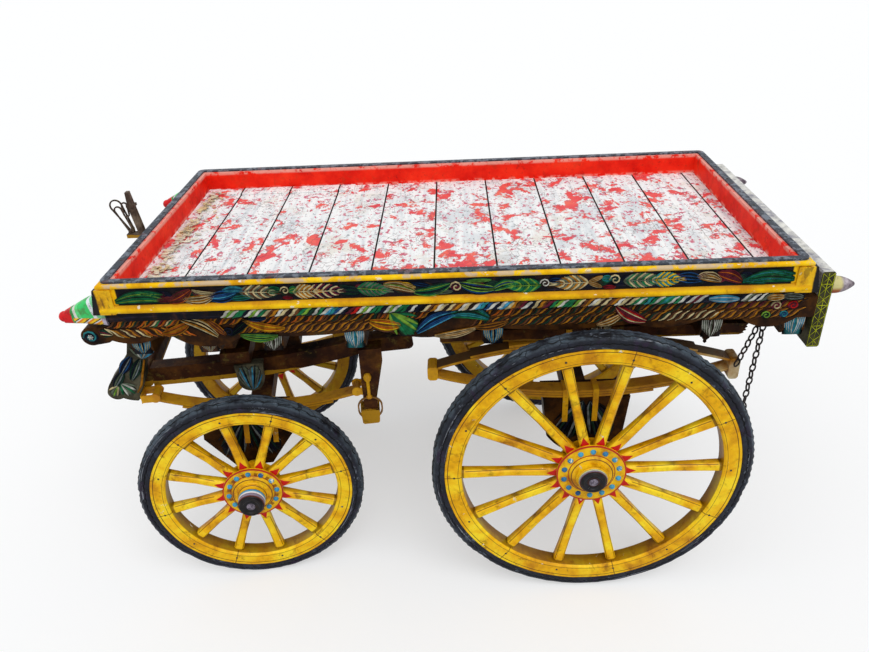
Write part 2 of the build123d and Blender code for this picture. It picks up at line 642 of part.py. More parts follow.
def fore_beam_face():
    """Side view of a fore beam: level over the axle, sweeping up to a shallower tail with a rounded end."""
    low, top, x = FORE_BEAM_LOW, FORE_BEAM_TOP, KING_X
    back, front = x + FORE_BEAM_BACK, x + FORE_BEAM_FRONT
    tail_low, tail_top = low + FORE_BEAM_SWEEP, low + FORE_BEAM_SWEEP + FORE_TAIL_DEPTH
    bend, level, corner = x - 88, x + POST_FRONT, 16
    return make_face([
        Line((front, low), (bend, low)),
        ThreePointArc((bend, low), ((bend + level) / 2, low + 0.42 * FORE_BEAM_SWEEP), (level, tail_low)),
        Line((level, tail_low), (back + corner, tail_low + 2)),
        ThreePointArc((back + corner, tail_low + 2), (back + 5, tail_low + 7), (back, tail_low + 2 + corner)),
        Line((back, tail_low + 2 + corner), (back + 4, tail_top)),
        Line((back + 4, tail_top), (level, tail_top)),
        ThreePointArc((level, tail_top), ((bend + level) / 2, (tail_top + top) / 2 - 3), (bend, top)),
        Line((bend, top), (front, top)),
        Line((front, top), (front, low)),
    ])


def fore_beams():
    face = fore_beam_face()
    return both_sides(along_y(face, FORE_BEAM_V - FORE_BEAM_WIDTH / 2, FORE_BEAM_V + FORE_BEAM_WIDTH / 2))


def console_face():
    """Side view of a front console: a leaning stem that widens into a hoof-like foot."""
    x, z, top = KING_X, FORE_BEAM_LOW, CONSOLE_TOP
    back, nose = x + CONSOLE_BACK, x + CONSOLE_NOSE_U
    return make_face([
        Line((x + 209, top), (x + 286, top)),
        Line((x + 286, top), (x + 296, z + 148)),
        ThreePointArc((x + 296, z + 148), (x + 333, z + 98), (nose - 17, z + 60)),
        ThreePointArc((nose - 17, z + 60), (nose - 5, z + 40), (nose, z + 24)),
        ThreePointArc((nose, z + 24), (nose - 8, z + 6), (nose - 40, z + 1)),
        ThreePointArc((nose - 40, z + 1), (nose - 60, z - 8), (back + 10, z - 13)),
        Line((back + 10, z - 13), (back, z - 5)),
        Line((back, z - 5), (back, z + 14)),
        ThreePointArc((back, z + 14), (x + 274, z + 38), (x + 264, z + 80)),
        ThreePointArc((x + 264, z + 80), (x + 246, z + 130), (x + 209, top)),
    ])


CONSOLE_IN = FORE_BEAM_V + FORE_BEAM_WIDTH / 2


def consoles():
    """Console stems, then their scrolled feet, which are bored for the shaft bolts."""
    whole = along_y(console_face(), CONSOLE_IN, CONSOLE_IN + CONSOLE_THICK)
    split = FORE_BEAM_LOW + 80
    reach = CONSOLE_NOSE_U
    below = block((KING_X, KING_X + 2 * reach), (0, 2 * CONSOLE_IN), (split - 2 * reach, split))
    bolt = Rot(90, 0, 0) * Cylinder(SHAFT_BORE_R, 4 * CONSOLE_IN)
    foot = (whole & below) - Pos(KING_X + CONSOLE_FOOT_U, 0, CONSOLE_FOOT_Z) * bolt
    return both_sides(whole - below), both_sides(foot)


def front_bar():
    """Cross timber between the consoles, butted against the fore beams."""
    start = KING_X + FORE_BEAM_FRONT
    middle = Pos(start + BAR_WIDTH / 2, FORE_BEAM_LOW + BAR_DEPTH / 2)
    face = middle * RectangleRounded(BAR_WIDTH, BAR_DEPTH, 12)
    return along_y(face, -CONSOLE_IN, CONSOLE_IN)


def lower_bolster():
    face = polygon((-LOWER_BOLSTER_HALF, FORE_BEAM_TOP + 12), (-LOWER_BOLSTER_HALF, LOWER_BOLSTER_TOP),
                   (LOWER_BOLSTER_HALF, LOWER_BOLSTER_TOP), (LOWER_BOLSTER_HALF, FORE_BEAM_TOP + 12),
                   (LOWER_BOLSTER_HALF - 10, FORE_BEAM_TOP), (-LOWER_BOLSTER_HALF + 10, FORE_BEAM_TOP))
    timber = along_x(face, KING_X - BOLSTER_WIDTH / 2, KING_X + BOLSTER_WIDTH / 2)
    return timber - king_bore()


def king_bore():
    radius = KING_PIN_R + RUNNING_CLEARANCE
    return Pos(KING_X, 0, (FORE_BEAM_TOP + UPPER_BOLSTER_LOW) / 2) * Cylinder(radius, 200)


def turntable(low):
    """Flat iron ring with a cross bar, bored for the king pin."""
    ring = Circle(RING_R) - Circle(RING_R - RING_WIDTH)
    bar = Rectangle(BOLSTER_WIDTH - 20, 2 * RING_R - RING_WIDTH)
    plate = Pos(KING_X, 0, low) * extrude(ring + bar, amount=RING_THICK)
    return plate


def upper_bolster():
    face = polygon((-UPPER_BOLSTER_HALF, UPPER_BOLSTER_LOW + 14), (-UPPER_BOLSTER_HALF, BEARER_BOTTOM),
                   (UPPER_BOLSTER_HALF, BEARER_BOTTOM), (UPPER_BOLSTER_HALF, UPPER_BOLSTER_LOW + 14),
                   (UPPER_BOLSTER_HALF - 16, UPPER_BOLSTER_LOW),
                   (-UPPER_BOLSTER_HALF + 16, UPPER_BOLSTER_LOW))
    timber = along_x(face, KING_X - BOLSTER_WIDTH / 2, KING_X + BOLSTER_WIDTH / 2)
    return timber - Pos(KING_X, 0, UPPER_BOLSTER_LOW) * Cylinder(KING_PIN_R, 400)


def king_pin():
    low = FORE_BEAM_TOP - SEAT_GAP
    shank = Pos(KING_X, 0, (low + BEARER_BOTTOM) / 2) * Cylinder(KING_PIN_R, BEARER_BOTTOM - low)
    head = Pos(KING_X, 0, low - KING_HEAD_THICK / 2) * Cylinder(KING_HEAD_R, KING_HEAD_THICK)
    return shank + head


def pendant():
    """Carved drop on the beam's outer side, under the end of the lower bolster."""
    u, half = KING_X + PENDANT_U, PENDANT_HALF
    low, top = FORE_BEAM_LOW - PENDANT_DROP, FORE_BEAM_TOP
    face = make_face([
        Line((u - half, top), (u + half, top)),
        Line((u + half, top), (u + half - 6, low + 26)),
        ThreePointArc((u + half - 6, low + 26), (u, low), (u - half + 6, low + 26)),
        Line((u - half + 6, low + 26), (u - half, top)),
    ])
    return along_y(face, CONSOLE_IN, CONSOLE_IN + 30)


def hanger_post():
    """Tapering wooden post behind the spring, standing in a stout shoe."""
    front = KING_X + POST_FRONT
    shoe_top, c = POST_BOTTOM + POST_FOOT_HEIGHT, 5
    face = polygon((front, POST_TOP), (front, shoe_top - 4), (front - POST_NECK, shoe_top - 4),
                   (front - POST_NECK, shoe_top + 40), (front - POST_WIDTH, FORE_BEAM_LOW + FORE_BEAM_SWEEP),
                   (front - POST_WIDTH, POST_TOP))
    middle, w, low = front - POST_NECK / 2 + 3, POST_FOOT_WIDTH / 2, POST_BOTTOM
    shoe = polygon((middle - w, shoe_top), (middle - w + 3, low + c), (middle - w + 3 + c, low),
                   (middle + w - c - 3, low),
                   (middle + w - 3, low + c), (middle + w, shoe_top))
    return (along_y(face, CONSOLE_IN, CONSOLE_IN + POST_THICK)
            + along_y(shoe, CONSOLE_IN, CONSOLE_IN + POST_THICK + SHOE_PROUD))


def drop_ring():
    """Wire loop that lies on a hanger post, with its ends let into the shoe."""
    x, z, wire = KING_X + POST_FRONT - POST_NECK / 2 + 2, POST_BOTTOM + 58, 5
    outer = RectangleRounded(78, 84, 36)
    inner = RectangleRounded(78 - 2 * wire, 84 - 2 * wire, 36 - wire)
    y = CONSOLE_IN + POST_THICK
    return along_y(Pos(x, z) * (outer - inner), y, y + wire) - hanger_post()


PITCH = radians(FORE_SPRING_PITCH)


def pitched(shapes):
    """Fore spring pieces tipped about the middle of the spring's seat, front end up."""
    pivot = Axis((KING_X + FORE_SPRING_U, 0, FORE_BLOCK_TOP), (0, 1, 0))
    return [shape.rotate(pivot, -FORE_SPRING_PITCH) for shape in as_list(shapes)]


def pitched_point(x, z):
    dx, dz = x - KING_X - FORE_SPRING_U, z - FORE_BLOCK_TOP
    return (KING_X + FORE_SPRING_U + dx * cos(PITCH) - dz * sin(PITCH),
            FORE_BLOCK_TOP + dx * sin(PITCH) + dz * cos(PITCH))


def fore_springs():
    """Half-elliptic packs with a rolled eye at each end."""
    middle = KING_X + FORE_SPRING_U
    face = leaf_pack(middle, FORE_SPRING_HALF, FORE_SPRING_SAG, FORE_SPRING_END, False)
    for end in (-1, 1):
        eye = Pos(middle + end * FORE_SPRING_HALF, FORE_SPRING_END + EYE_R - LEAF_THICK)
        face = face + eye * Circle(EYE_R)
    return pitched(spring_pair(face, FORE_SPRING_V))


def spring_hangers():
    """Iron channels on the console and the hanger post that hold the eyes of the fore springs."""
    middle = KING_X + FORE_SPRING_U
    low, high = FORE_SPRING_V - LEAF_WIDTH / 2, FORE_SPRING_V + LEAF_WIDTH / 2
    hangers = []
    for end, timber in ((-1, KING_X + POST_FRONT), (1, KING_X + CONSOLE_BACK)):
        eye_x, eye_z = pitched_point(middle + end * FORE_SPRING_HALF, FORE_SPRING_END + EYE_R - LEAF_THICK)
        cheek = Pos(eye_x, eye_z) * Circle(EYE_R + 3)
        span = tuple(sorted((eye_x, timber)))
        arm = Pos((span[0] + span[1]) / 2, eye_z) * Rectangle(span[1] - span[0], 2 * EYE_R)
        plate = cheek + arm - Pos(timber + end * 2 * EYE_R, eye_z) * Rectangle(4 * EYE_R, 8 * EYE_R)
        hanger = along_y(plate, low - HANGER_WALL, low) + along_y(plate, high, high + HANGER_WALL)
        back = tuple(sorted((timber, timber - end * HANGER_WALL * 0.4)))
        hanger = hanger + block(back, (low - HANGER_WALL, high + HANGER_WALL),
                                (eye_z - EYE_R - 2, eye_z + EYE_R + 2))
        hangers += both_sides(hanger)
    return hangers


def fore_blocks():
    """Carved chests under the fore springs, tapering down to the axle bar."""
    x, w, f = KING_X, FORE_BLOCK_WIDTH / 2, FORE_BLOCK_FOOT / 2
    low, top = FORE_BLOCK_BOTTOM, FORE_BLOCK_TOP
    shoulder = low + FORE_BLOCK_SHOULDER * (top - low)
    # the top is cut to the spring's pitch
    front_top, back_top = (top + (reach - FORE_SPRING_U) * tan(PITCH) for reach in (w - 10, 10 - w))
    face = make_face([
        Line((x - w + 10, back_top), (x + w - 10, front_top)),
        Line((x + w - 10, front_top), (x + w, shoulder)),
        ThreePointArc((x + w, shoulder), (x + (w + f) / 2 - 8, (low + shoulder) / 2 - 10), (x + f, low)),
        Line((x + f, low), (x - f, low)),
        ThreePointArc((x - f, low), (x - (w + f) / 2 + 8, (low + shoulder) / 2 - 10), (x - w, shoulder)),
        Line((x - w, shoulder), (x - w + 10, back_top)),
    ])
    return both_sides(along_y(face, FORE_SPRING_OUT - CHEST_LENGTH, FORE_SPRING_OUT))


# ---------------------------------------------------------------- wheels
def nave_profile(wheel):
    """Half section of the nave as (radius, along the axle), positive outwards."""
    seat = SPOKE_FOOT[0] / 2
    rim, end = wheel["flange_r"], wheel["cap_end"]
    bore = JOURNAL_R + RUNNING_CLEARANCE
    face = seat + FLANGE_THICK
    return polygon(
        (bore, -NAVE_INNER), (42, -NAVE_INNER), (46, -NAVE_INNER + 14), (60, -NAVE_INNER + 30), (64, -face),
        (rim - 6, -face), (rim - 6, -seat), (70, -seat), (70, seat), (rim, seat), (rim, face), (66, face),
        (60, face + 8), (48, face + 10), (46, end - 20), (bore, end - 20))


def cap_profile(wheel):
    """Iron collar and closed cap on the nave's outer end."""
    end = wheel["cap_end"]
    bore = JOURNAL_R + RUNNING_CLEARANCE
    return polygon((bore, end - 20), (40, end - 20), (40, end - 12), (31, end - 11), (30, end - 3), (25, end),
                   (0, end), (0, end - 11), (bore, end - 11))


def octagon(plane, wide, high):
    c = SPOKE_CHAMFER
    w, h = wide / 2, high / 2
    corners = ((w, h - c), (w - c, h), (c - w, h), (-w, h - c),
               (-w, c - h), (c - w, -h), (w - c, -h), (w, c - h))
    return plane * polygon(*corners)


def spoke(wheel):
    """One spoke along +X: stout at the nave, slim below the middle, swelling again into the felloe."""
    felloe_in = wheel["radius"] - TYRE_THICK - wheel["felloe"]
    start, stop = 66, felloe_in + 3
    waist = start + 0.55 * (stop - start)
    stations = ((start, SPOKE_FOOT), (waist, SPOKE_WAIST), (stop, SPOKE_HEAD))
    sections = []
    for x, (wide, high) in stations:
        sections.append(octagon(Plane(origin=(x, 0, 0), x_dir=(0, 1, 0), z_dir=(1, 0, 0)), wide, high))
    body = loft(sections, ruled=True)
    tube = Rot(90, 0, 0) * (Cylinder(felloe_in, 100) - Cylinder(70, 100))
    return body & tube


def wheel_parts(wheel):
    """Nave, cap, spokes, felloe and tyre, with the axle along +Y and the outer face towards +Y."""
    radius = wheel["radius"]
    felloe_out = radius - TYRE_THICK
    felloe_in = felloe_out - wheel["felloe"]
    half, c = FELLOE_WIDTH / 2, FELLOE_CHAMFER
    felloe = polygon((felloe_in, -half + c), (felloe_in + c, -half), (felloe_out, -half), (felloe_out, half),
                     (felloe_in + c, half), (felloe_in, half - c))
    w, r = TYRE_WIDTH / 2, TYRE_ROUND
    k = r * (1 - cos(radians(45)))
    tyre = make_face([
        Line((felloe_out, -w), (radius - r, -w)),
        ThreePointArc((radius - r, -w), (radius - k, -w + k), (radius, -w + r)),
        Line((radius, -w + r), (radius, w - r)),
        ThreePointArc((radius, w - r), (radius - k, w - k), (radius - r, w)),
        Line((radius - r, w), (felloe_out, w)),
        Line((felloe_out, w), (felloe_out, -w)),
    ])
    one = spoke(wheel)
    step = 360 / wheel["spokes"]
    # Rot(Y) turns +X towards -Z, so the angle is negated to run from forward to up
    spokes = [Rot(0, -(wheel["phase"] - k * step), 0) * one for k in range(wheel["spokes"])]
    return {
        "nave": [revolve(nave_profile(wheel), Axis.Y)],
        "cap": [revolve(cap_profile(wheel), Axis.Y)],
        "spokes": spokes,
        "felloe": [revolve(felloe, Axis.Y)],
        "tyre": [revolve(tyre, Axis.Y)],
    }


def placed_wheels():
    nodes = {}
    for axle_name, wheel, x, z in (("rear", REAR_WHEEL, REAR_AXLE_X, REAR_AXLE_Z),
                                   ("fore", FORE_WHEEL, KING_X, FORE_AXLE_Z)):
        for part, solids in wheel_parts(wheel).items():
            left = [Pos(x, wheel["plane"], z) * solid for solid in solids]
            right = [mirror(solid, about=Plane.XZ) for solid in left]
            if axle_name == "fore":
                left, right = turned(left), turned(right)
            nodes[f"wheel_{axle_name}_left_{part}"] = left
            nodes[f"wheel_{axle_name}_right_{part}"] = right
    return nodes


# ---------------------------------------------------------------- chain
def link():
    """One link along +X in the XY plane, as an eight-sided ring of square wire."""
    def ring(long, wide):
        a, b, c = long / 2, wide / 2, wide * 0.3
        return polygon((a, b - c), (a - c, b), (c - a, b), (-a, b - c), (-a, c - b), (c - a, -b), (a - c, -b),
                       (a, c - b))
    face = ring(LINK_LENGTH, LINK_WIDTH) - ring(LINK_LENGTH - 2 * CHAIN_WIRE, LINK_WIDTH - 2 * CHAIN_WIRE)
    return Pos(0, 0, -CHAIN_WIRE / 2) * extrude(face, amount=CHAIN_WIRE)


def strand(start, stop):
    """Links from start to stop, each turned a quarter on the last."""
    pitch = LINK_LENGTH - 2 * CHAIN_WIRE - LINK_SLACK
    run = Vector(*stop) - Vector(*start)
    along = run.normalized()
    across = along.cross(Vector(0, 1, 0)).normalized()
    pieces = []
    for number in range(int(run.length / pitch)):
        centre = Vector(*start) + along * ((number + 0.5) * pitch)
        facing = across if number % 2 else along.cross(across)
        pieces.append(Plane(origin=centre, x_dir=along, z_dir=facing) * link())
    return pieces


def drag_chain():
    """A strand that hangs free behind the left wheel, and one tied to the rear spring's head."""
    x, y, z = CHAIN_SETBACK - TRAY_LENGTH / 2, CHAIN_Y, SILL_BOTTOM
    plate = block((x - 20, x + 22), (y - 10, y + 10), (z - 8, z))
    free = strand((x - 9, y, z - 6), (x + 14, y, z - CHAIN_DROP))
    head_x = REAR_SPRING_X - REAR_SPRING_HALF - 4
    head_y = REAR_SPRING_OUT + HANGER_WALL
    head_z = (REAR_UPPER_END + REAR_LOWER_END) / 2
    tied = strand((x + 12, y - 4, z - 6), (head_x - 6, head_y + LINK_WIDTH / 2, head_z))
    return [plate] + free + tied


# ---------------------------------------------------------------- assembly
# once turned, the right console's foot is the cart's foremost point; the finials are its last
PARKED = radians(REST_STEER)
FRONT_REACH = (KING_X + CONSOLE_NOSE_U * cos(PARKED)
               + (CONSOLE_IN + CONSOLE_THICK) * sin(PARKED))
BACK_REACH = FINIAL_LENGTH - TAIL_BOARD_BACK
MIDDLE_X = (FRONT_REACH - BACK_REACH) / 2


def build():
    side_walls, end_walls = walls()
    springs_upper, springs_lower = rear_springs()
    rear_rise = pack_rise(REAR_SPRING_HALF, REAR_SPRING_SAG)
    fore_rise = pack_rise(FORE_SPRING_HALF, FORE_SPRING_SAG)
    rear_leg = CLIP_LEG * (REAR_BLOCK_TOP - REAR_AXLE_Z)
    fore_leg = CLIP_LEG * (FORE_BLOCK_TOP - FORE_AXLE_Z)
    console_stems, console_feet = consoles()
    rear_clips = clips(REAR_SPRING_X, REAR_SPRING_Y, REAR_BLOCK_TOP, REAR_BLOCK_TOP - rear_leg,
                       rear_rise, True)
    rear_clips += clips(REAR_SPRING_X, REAR_SPRING_Y, REAR_BEAM_BOTTOM, BEARER_BOTTOM - 2, rear_rise, False)
    fore_clips = clips(KING_X + FORE_SPRING_U, FORE_SPRING_V, FORE_BLOCK_TOP, FORE_BLOCK_TOP - fore_leg,
                       fore_rise, True)
    nodes = {
        "side_walls": side_walls,
        "end_walls": end_walls,
        "rim_strap": rim_strap(),
        "corner_blocks": corner_blocks(),
        "deck_planks": planks(),
        "deck_stringers": stringers(),
        "sills": both_sides(sill()),
        "cross_bearers": bearers(),
        "front_horns": front_horns(),
        "rein_post": rein_post(),
        "tail_board": tail_board(),
        "tail_finials": tail_finials(),
        "rear_beams": both_sides(rear_beam()),
        "upper_bolster": upper_bolster(),
        "turntable_upper": (turntable(UPPER_RING_LOW)
                            - Pos(KING_X, 0, UPPER_RING_LOW) * Cylinder(KING_PIN_R, 60)),
        "king_pin": king_pin(),
        "rear_springs_upper": springs_upper,
        "rear_springs_lower": springs_lower,
        "rear_spring_heads": spring_heads(),
        "rear_spring_clips": [piece for clip in rear_clips for piece in both_sides(clip)],
        "check_straps": both_sides(check_strap()),
        "rear_axle_chests": rear_blocks(),
        "rear_axle_bed": axle_bed(REAR_AXLE_X, REAR_AXLE_Z, REAR_SPRING_OUT),
        "rear_axle": axle(REAR_AXLE_X, REAR_AXLE_Z, REAR_WHEEL),
        "drag_chain": drag_chain(),
        "turntable_lower": turned(turntable(RING_LOW) - king_bore()),
        "lower_bolster": turned(lower_bolster()),
        "fore_beams": turned(fore_beams()),
        "front_bar": turned(front_bar()),
        "front_consoles": turned(console_stems),
        "console_feet": turned(console_feet),
        "pendants": turned(both_sides(pendant())),
        "hanger_posts": turned(both_sides(hanger_post())),
        "drop_rings": turned(both_sides(drop_ring())),
        "fore_springs": turned(fore_springs()),
        "fore_spring_hangers": turned(spring_hangers()),
        "fore_spring_clips": turned(pitched([piece for clip in fore_clips for piece in both_sides(clip)])),
        "fore_axle_chests": turned(fore_blocks()),
        "fore_axle_bed": turned(axle_bed(KING_X, FORE_AXLE_Z, FORE_SPRING_OUT)),
        "fore_axle": turned(axle(KING_X, FORE_AXLE_Z, FORE_WHEEL)),
    }
    nodes.update(placed_wheels())
    return nodes


os.makedirs("parts", exist_ok=True)
for name, shapes in build().items():
    shapes = [Pos(-MIDDLE_X, 0, 0) * shape for shape in as_list(shapes)]
    export_step(shapes[0] if len(shapes) == 1 else Compound(children=shapes), f"parts/{name}.step")
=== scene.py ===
"""Looks of a carved and painted four-wheeled draught cart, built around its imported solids.

Metres, in the frame of the solids: +X is forward, +Y is the cart's left and +Z is up.
"""
import logging
import math
from contextlib import contextmanager
from dataclasses import dataclass
from enum import Enum
from random import Random
from typing import Iterator, Optional, Sequence, Union

import bmesh
import bpy
from mathutils import Matrix, Vector


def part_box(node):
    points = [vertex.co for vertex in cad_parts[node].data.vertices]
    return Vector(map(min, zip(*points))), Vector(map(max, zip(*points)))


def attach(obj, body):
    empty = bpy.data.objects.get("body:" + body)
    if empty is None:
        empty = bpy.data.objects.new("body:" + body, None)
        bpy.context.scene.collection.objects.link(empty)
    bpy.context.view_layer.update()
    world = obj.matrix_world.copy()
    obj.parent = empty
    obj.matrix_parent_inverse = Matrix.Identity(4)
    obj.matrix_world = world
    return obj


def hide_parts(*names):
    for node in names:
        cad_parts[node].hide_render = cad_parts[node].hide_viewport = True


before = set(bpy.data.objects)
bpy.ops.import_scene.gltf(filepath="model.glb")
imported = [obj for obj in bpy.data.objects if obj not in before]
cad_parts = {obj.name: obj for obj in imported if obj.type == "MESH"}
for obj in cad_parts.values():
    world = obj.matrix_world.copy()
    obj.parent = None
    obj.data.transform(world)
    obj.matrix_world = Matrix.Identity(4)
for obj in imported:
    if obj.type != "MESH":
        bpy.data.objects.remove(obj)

LOG = logging.getLogger("draught_cart")
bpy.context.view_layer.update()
MM = 0.001
FOOT_SUNK = 0.0006
# strength of the painted highlight on the crests of the low mounds under leaves and curls
MOUND_GLOW = 0.62
QUARTER = math.radians(90)
BOTH = (1, -1)
Colour = tuple[float, float, float]
Tone = Union[str, Colour]
Point = tuple[float, float]
Face = tuple[int, ...]
Socket = bpy.types.NodeSocket
Material = bpy.types.Material
Mesh = bpy.types.Mesh
Thing = bpy.types.Object


def srgb(tone: Tone) -> Colour:
    """Linear colour of a six-digit hexadecimal sRGB code; a linear colour stays as it is."""
    if not isinstance(tone, str):
        return tone
    values = [int(tone[i:i + 2], 16) / 255 for i in (0, 2, 4)]
    return tuple(v / 12.92 if v <= 0.04045 else ((v + 0.055) / 1.055) ** 2.4 for v in values)


class Paint(str, Enum):
    """The cart's paint pots."""
    YELLOW = "e2ab14"
    BRIGHT_YELLOW = "f0c016"
    OCHRE = "b8791c"
    ORANGE = "c8641e"
    BROWN = "6b4226"
    DARK_BROWN = "33221a"
    RED = "c8201c"
    MAROON = "6e2434"
    CREAM = "d9c896"
    WHITE = "dcdcd2"
    GREEN = "1f7a4c"
    LEAF = "7fae3c"
    DEEP_GREEN = "17382c"
    TEAL = "2f8a90"
    SKY = "4aa3cc"
    BLUE = "1f4f86"
    NAVY = "10162a"
    GREY = "7d8688"
    SAGE = "6a7562"
    BLACK = "060508"
    LIME = "d3d92c"


P = Paint


# ------------------------------------------------------------------ sizes shared with the solids
@dataclass(frozen=True)
class TraySizes:
    """The tray's own sizes, in metres; X runs from the middle of the tray."""
    middle_x: float
    half_length: float = 0.902
    half_width: float = 0.459
    wall: float = 0.032
    rim_top: float = 1.094
    top_bead: float = 0.014
    field: float = 0.048
    low_bead: float = 0.024
    wall_bottom: float = 0.984
    floor_top: float = 1.029
    sill_face: float = 0.445
    sill_bottom: float = 0.925
    bearer_depth: float = 0.062
    bearer_setback: float = 0.017

    @property
    def field_top(self) -> float:
        """Top of the carved field."""
        return self.rim_top - self.top_bead

    @property
    def field_bottom(self) -> float:
        """Bottom of the carved field."""
        return self.field_top - self.field

    @property
    def strip_top(self) -> float:
        """Top of the leaf strip under the lower moulding."""
        return self.field_bottom - self.low_bead

    def point(self, x: float = 0.0, y: float = 0.0, z: float = 0.0) -> Vector:
        """Point in the cart's frame from an X that starts at the tray's middle."""
        return Vector((self.middle_x + x, y, z))


def middle_of(node: str) -> Vector:
    """Middle of a node's box at rest."""
    low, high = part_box(node)
    return (low + high) / 2


TRAY = TraySizes(middle_x=middle_of("rim_strap").x)
FINIAL_ROOT = TRAY.point(-0.979, 0.0, 0.995)
FINIAL_ASIDE = 0.400
KING = TRAY.point(0.685)
STEER = math.radians(7.13)
STEERED = Matrix.Translation(KING) @ Matrix.Rotation(STEER, 4, "Z")


# ------------------------------------------------------------------ node trees
class NodeTree:
    """A node tree with a short way to add and feed nodes."""

    def __init__(self, tree: bpy.types.NodeTree) -> None:
        """Work in a tree."""
        self.tree = tree

    def node(self, kind: str, inputs: Optional[dict] = None, **settings) -> bpy.types.Node:
        """Add a node.

        Args:
            kind: the node's type name.
            inputs: what its inputs take, by name or number.
            settings: the node's own properties.
        Returns:
            The node.
        """
        made = self.tree.nodes.new(kind)
        for key, value in settings.items():
            setattr(made, key, value)
        for key, value in (inputs or {}).items():
            self.feed(made.inputs[key], value)
        return made

    def feed(self, target: Socket, value) -> None:
        """Give an input a constant, a colour or another node's output."""
        if isinstance(value, Value):
            self.tree.links.new(value.socket, target)
        elif target.type == "RGBA":
            target.default_value = (*srgb(value), 1.0)
        else:
            target.default_value = value

    def out(self, kind: str, inputs: Optional[dict] = None, output=0, **settings) -> "Value":
        """Add a node and take one of its outputs."""
        return Value(self, self.node(kind, inputs, **settings).outputs[output])

    def seen(self) -> "Value":
        """1 on rays from the camera, off glossy surfaces and through clear ones."""
        camera, glossy, clear = (self.out("ShaderNodeLightPath", output=f"Is {kind} Ray")
                                 for kind in ("Camera", "Glossy", "Transmission"))
        return camera.most(glossy.most(clear))


@dataclass(frozen=True, eq=False)
class Value:
    """What a socket carries; its arithmetic and its masks add nodes."""
    graph: NodeTree
    socket: Socket

    def maths(self, operation: str, *others) -> "Value":
        """A Math node's result, with this value as the first input."""
        return self.graph.out("ShaderNodeMath", dict(enumerate((self, *others))), operation=operation)

    def __add__(self, other) -> "Value":
        """Sum."""
        return self.maths("ADD", other)

    def __sub__(self, other) -> "Value":
        """Difference."""
        return self.maths("SUBTRACT", other)

    def __rsub__(self, other) -> "Value":
        """Difference from a constant."""
        return self * -1.0 + other

    def __mul__(self, other) -> "Value":
        """Product."""
        return self.maths("MULTIPLY", other)

    def __truediv__(self, other) -> "Value":
        """Quotient."""
        return self.maths("DIVIDE", other)

    def __abs__(self) -> "Value":
        """Size without its sign."""
        return self.maths("ABSOLUTE")

    def most(self, other) -> "Value":
        """The larger of two values."""
        return self.maths("MAXIMUM", other)

    def step(self, low: float, high: float) -> "Value":
        """0 below low and 1 above high, smooth between; falls instead where low is the larger."""
        ends = (low, high, 0.0, 1.0) if low <= high else (high, low, 1.0, 0.0)
        names = ("Value", "From Min", "From Max", "To Min", "To Max")
        return self.graph.out("ShaderNodeMapRange", dict(zip(names, (self, *ends))), interpolation_type="SMOOTHSTEP")

    def band(self, low: float, high: float, soft: float = 0.0006) -> "Value":
        """1 between two limits and 0 outside them."""
        return self.step(low - soft, low + soft) * self.step(high + soft, high - soft)

    def ramp(self, stops: dict[float, Tone], hard: bool = False) -> "Value":
        """Colour ramp.

        Args:
            stops: colours by their places on the ramp.
            hard: whether the colours change without blending.
        Returns:
            The colour.
        """
        made = self.graph.node("ShaderNodeValToRGB", {"Fac": self})
        made.color_ramp.interpolation = "CONSTANT" if hard else "LINEAR"
        elements = made.color_ramp.elements
        while len(elements) < len(stops):
            elements.new(0.5)
        for element, (place, tone) in zip(elements, stops.items()):
            element.position = place
            element.color = (*srgb(tone), 1.0)
        return Value(self.graph, made.outputs["Color"])

    def mixed(self, where, tone, blend: str = "MIX") -> "Value":
        """This colour with another over it where a mask is 1."""
        return self.graph.out("ShaderNodeMix", {0: where, 6: self, 7: tone}, 2, data_type="RGBA", blend_type=blend)

    def between(self, low, high) -> "Value":
        """Two colours mixed by this mask."""
        return self.graph.out("ShaderNodeMix", {0: self, 6: low, 7: high}, 2, data_type="RGBA")

    def coated(self, *layers: tuple) -> "Value":
        """This colour under layers, each given as its mask and its colour."""
        tone = self
        for where, colour in layers:
            tone = tone.mixed(where, colour)
        return tone


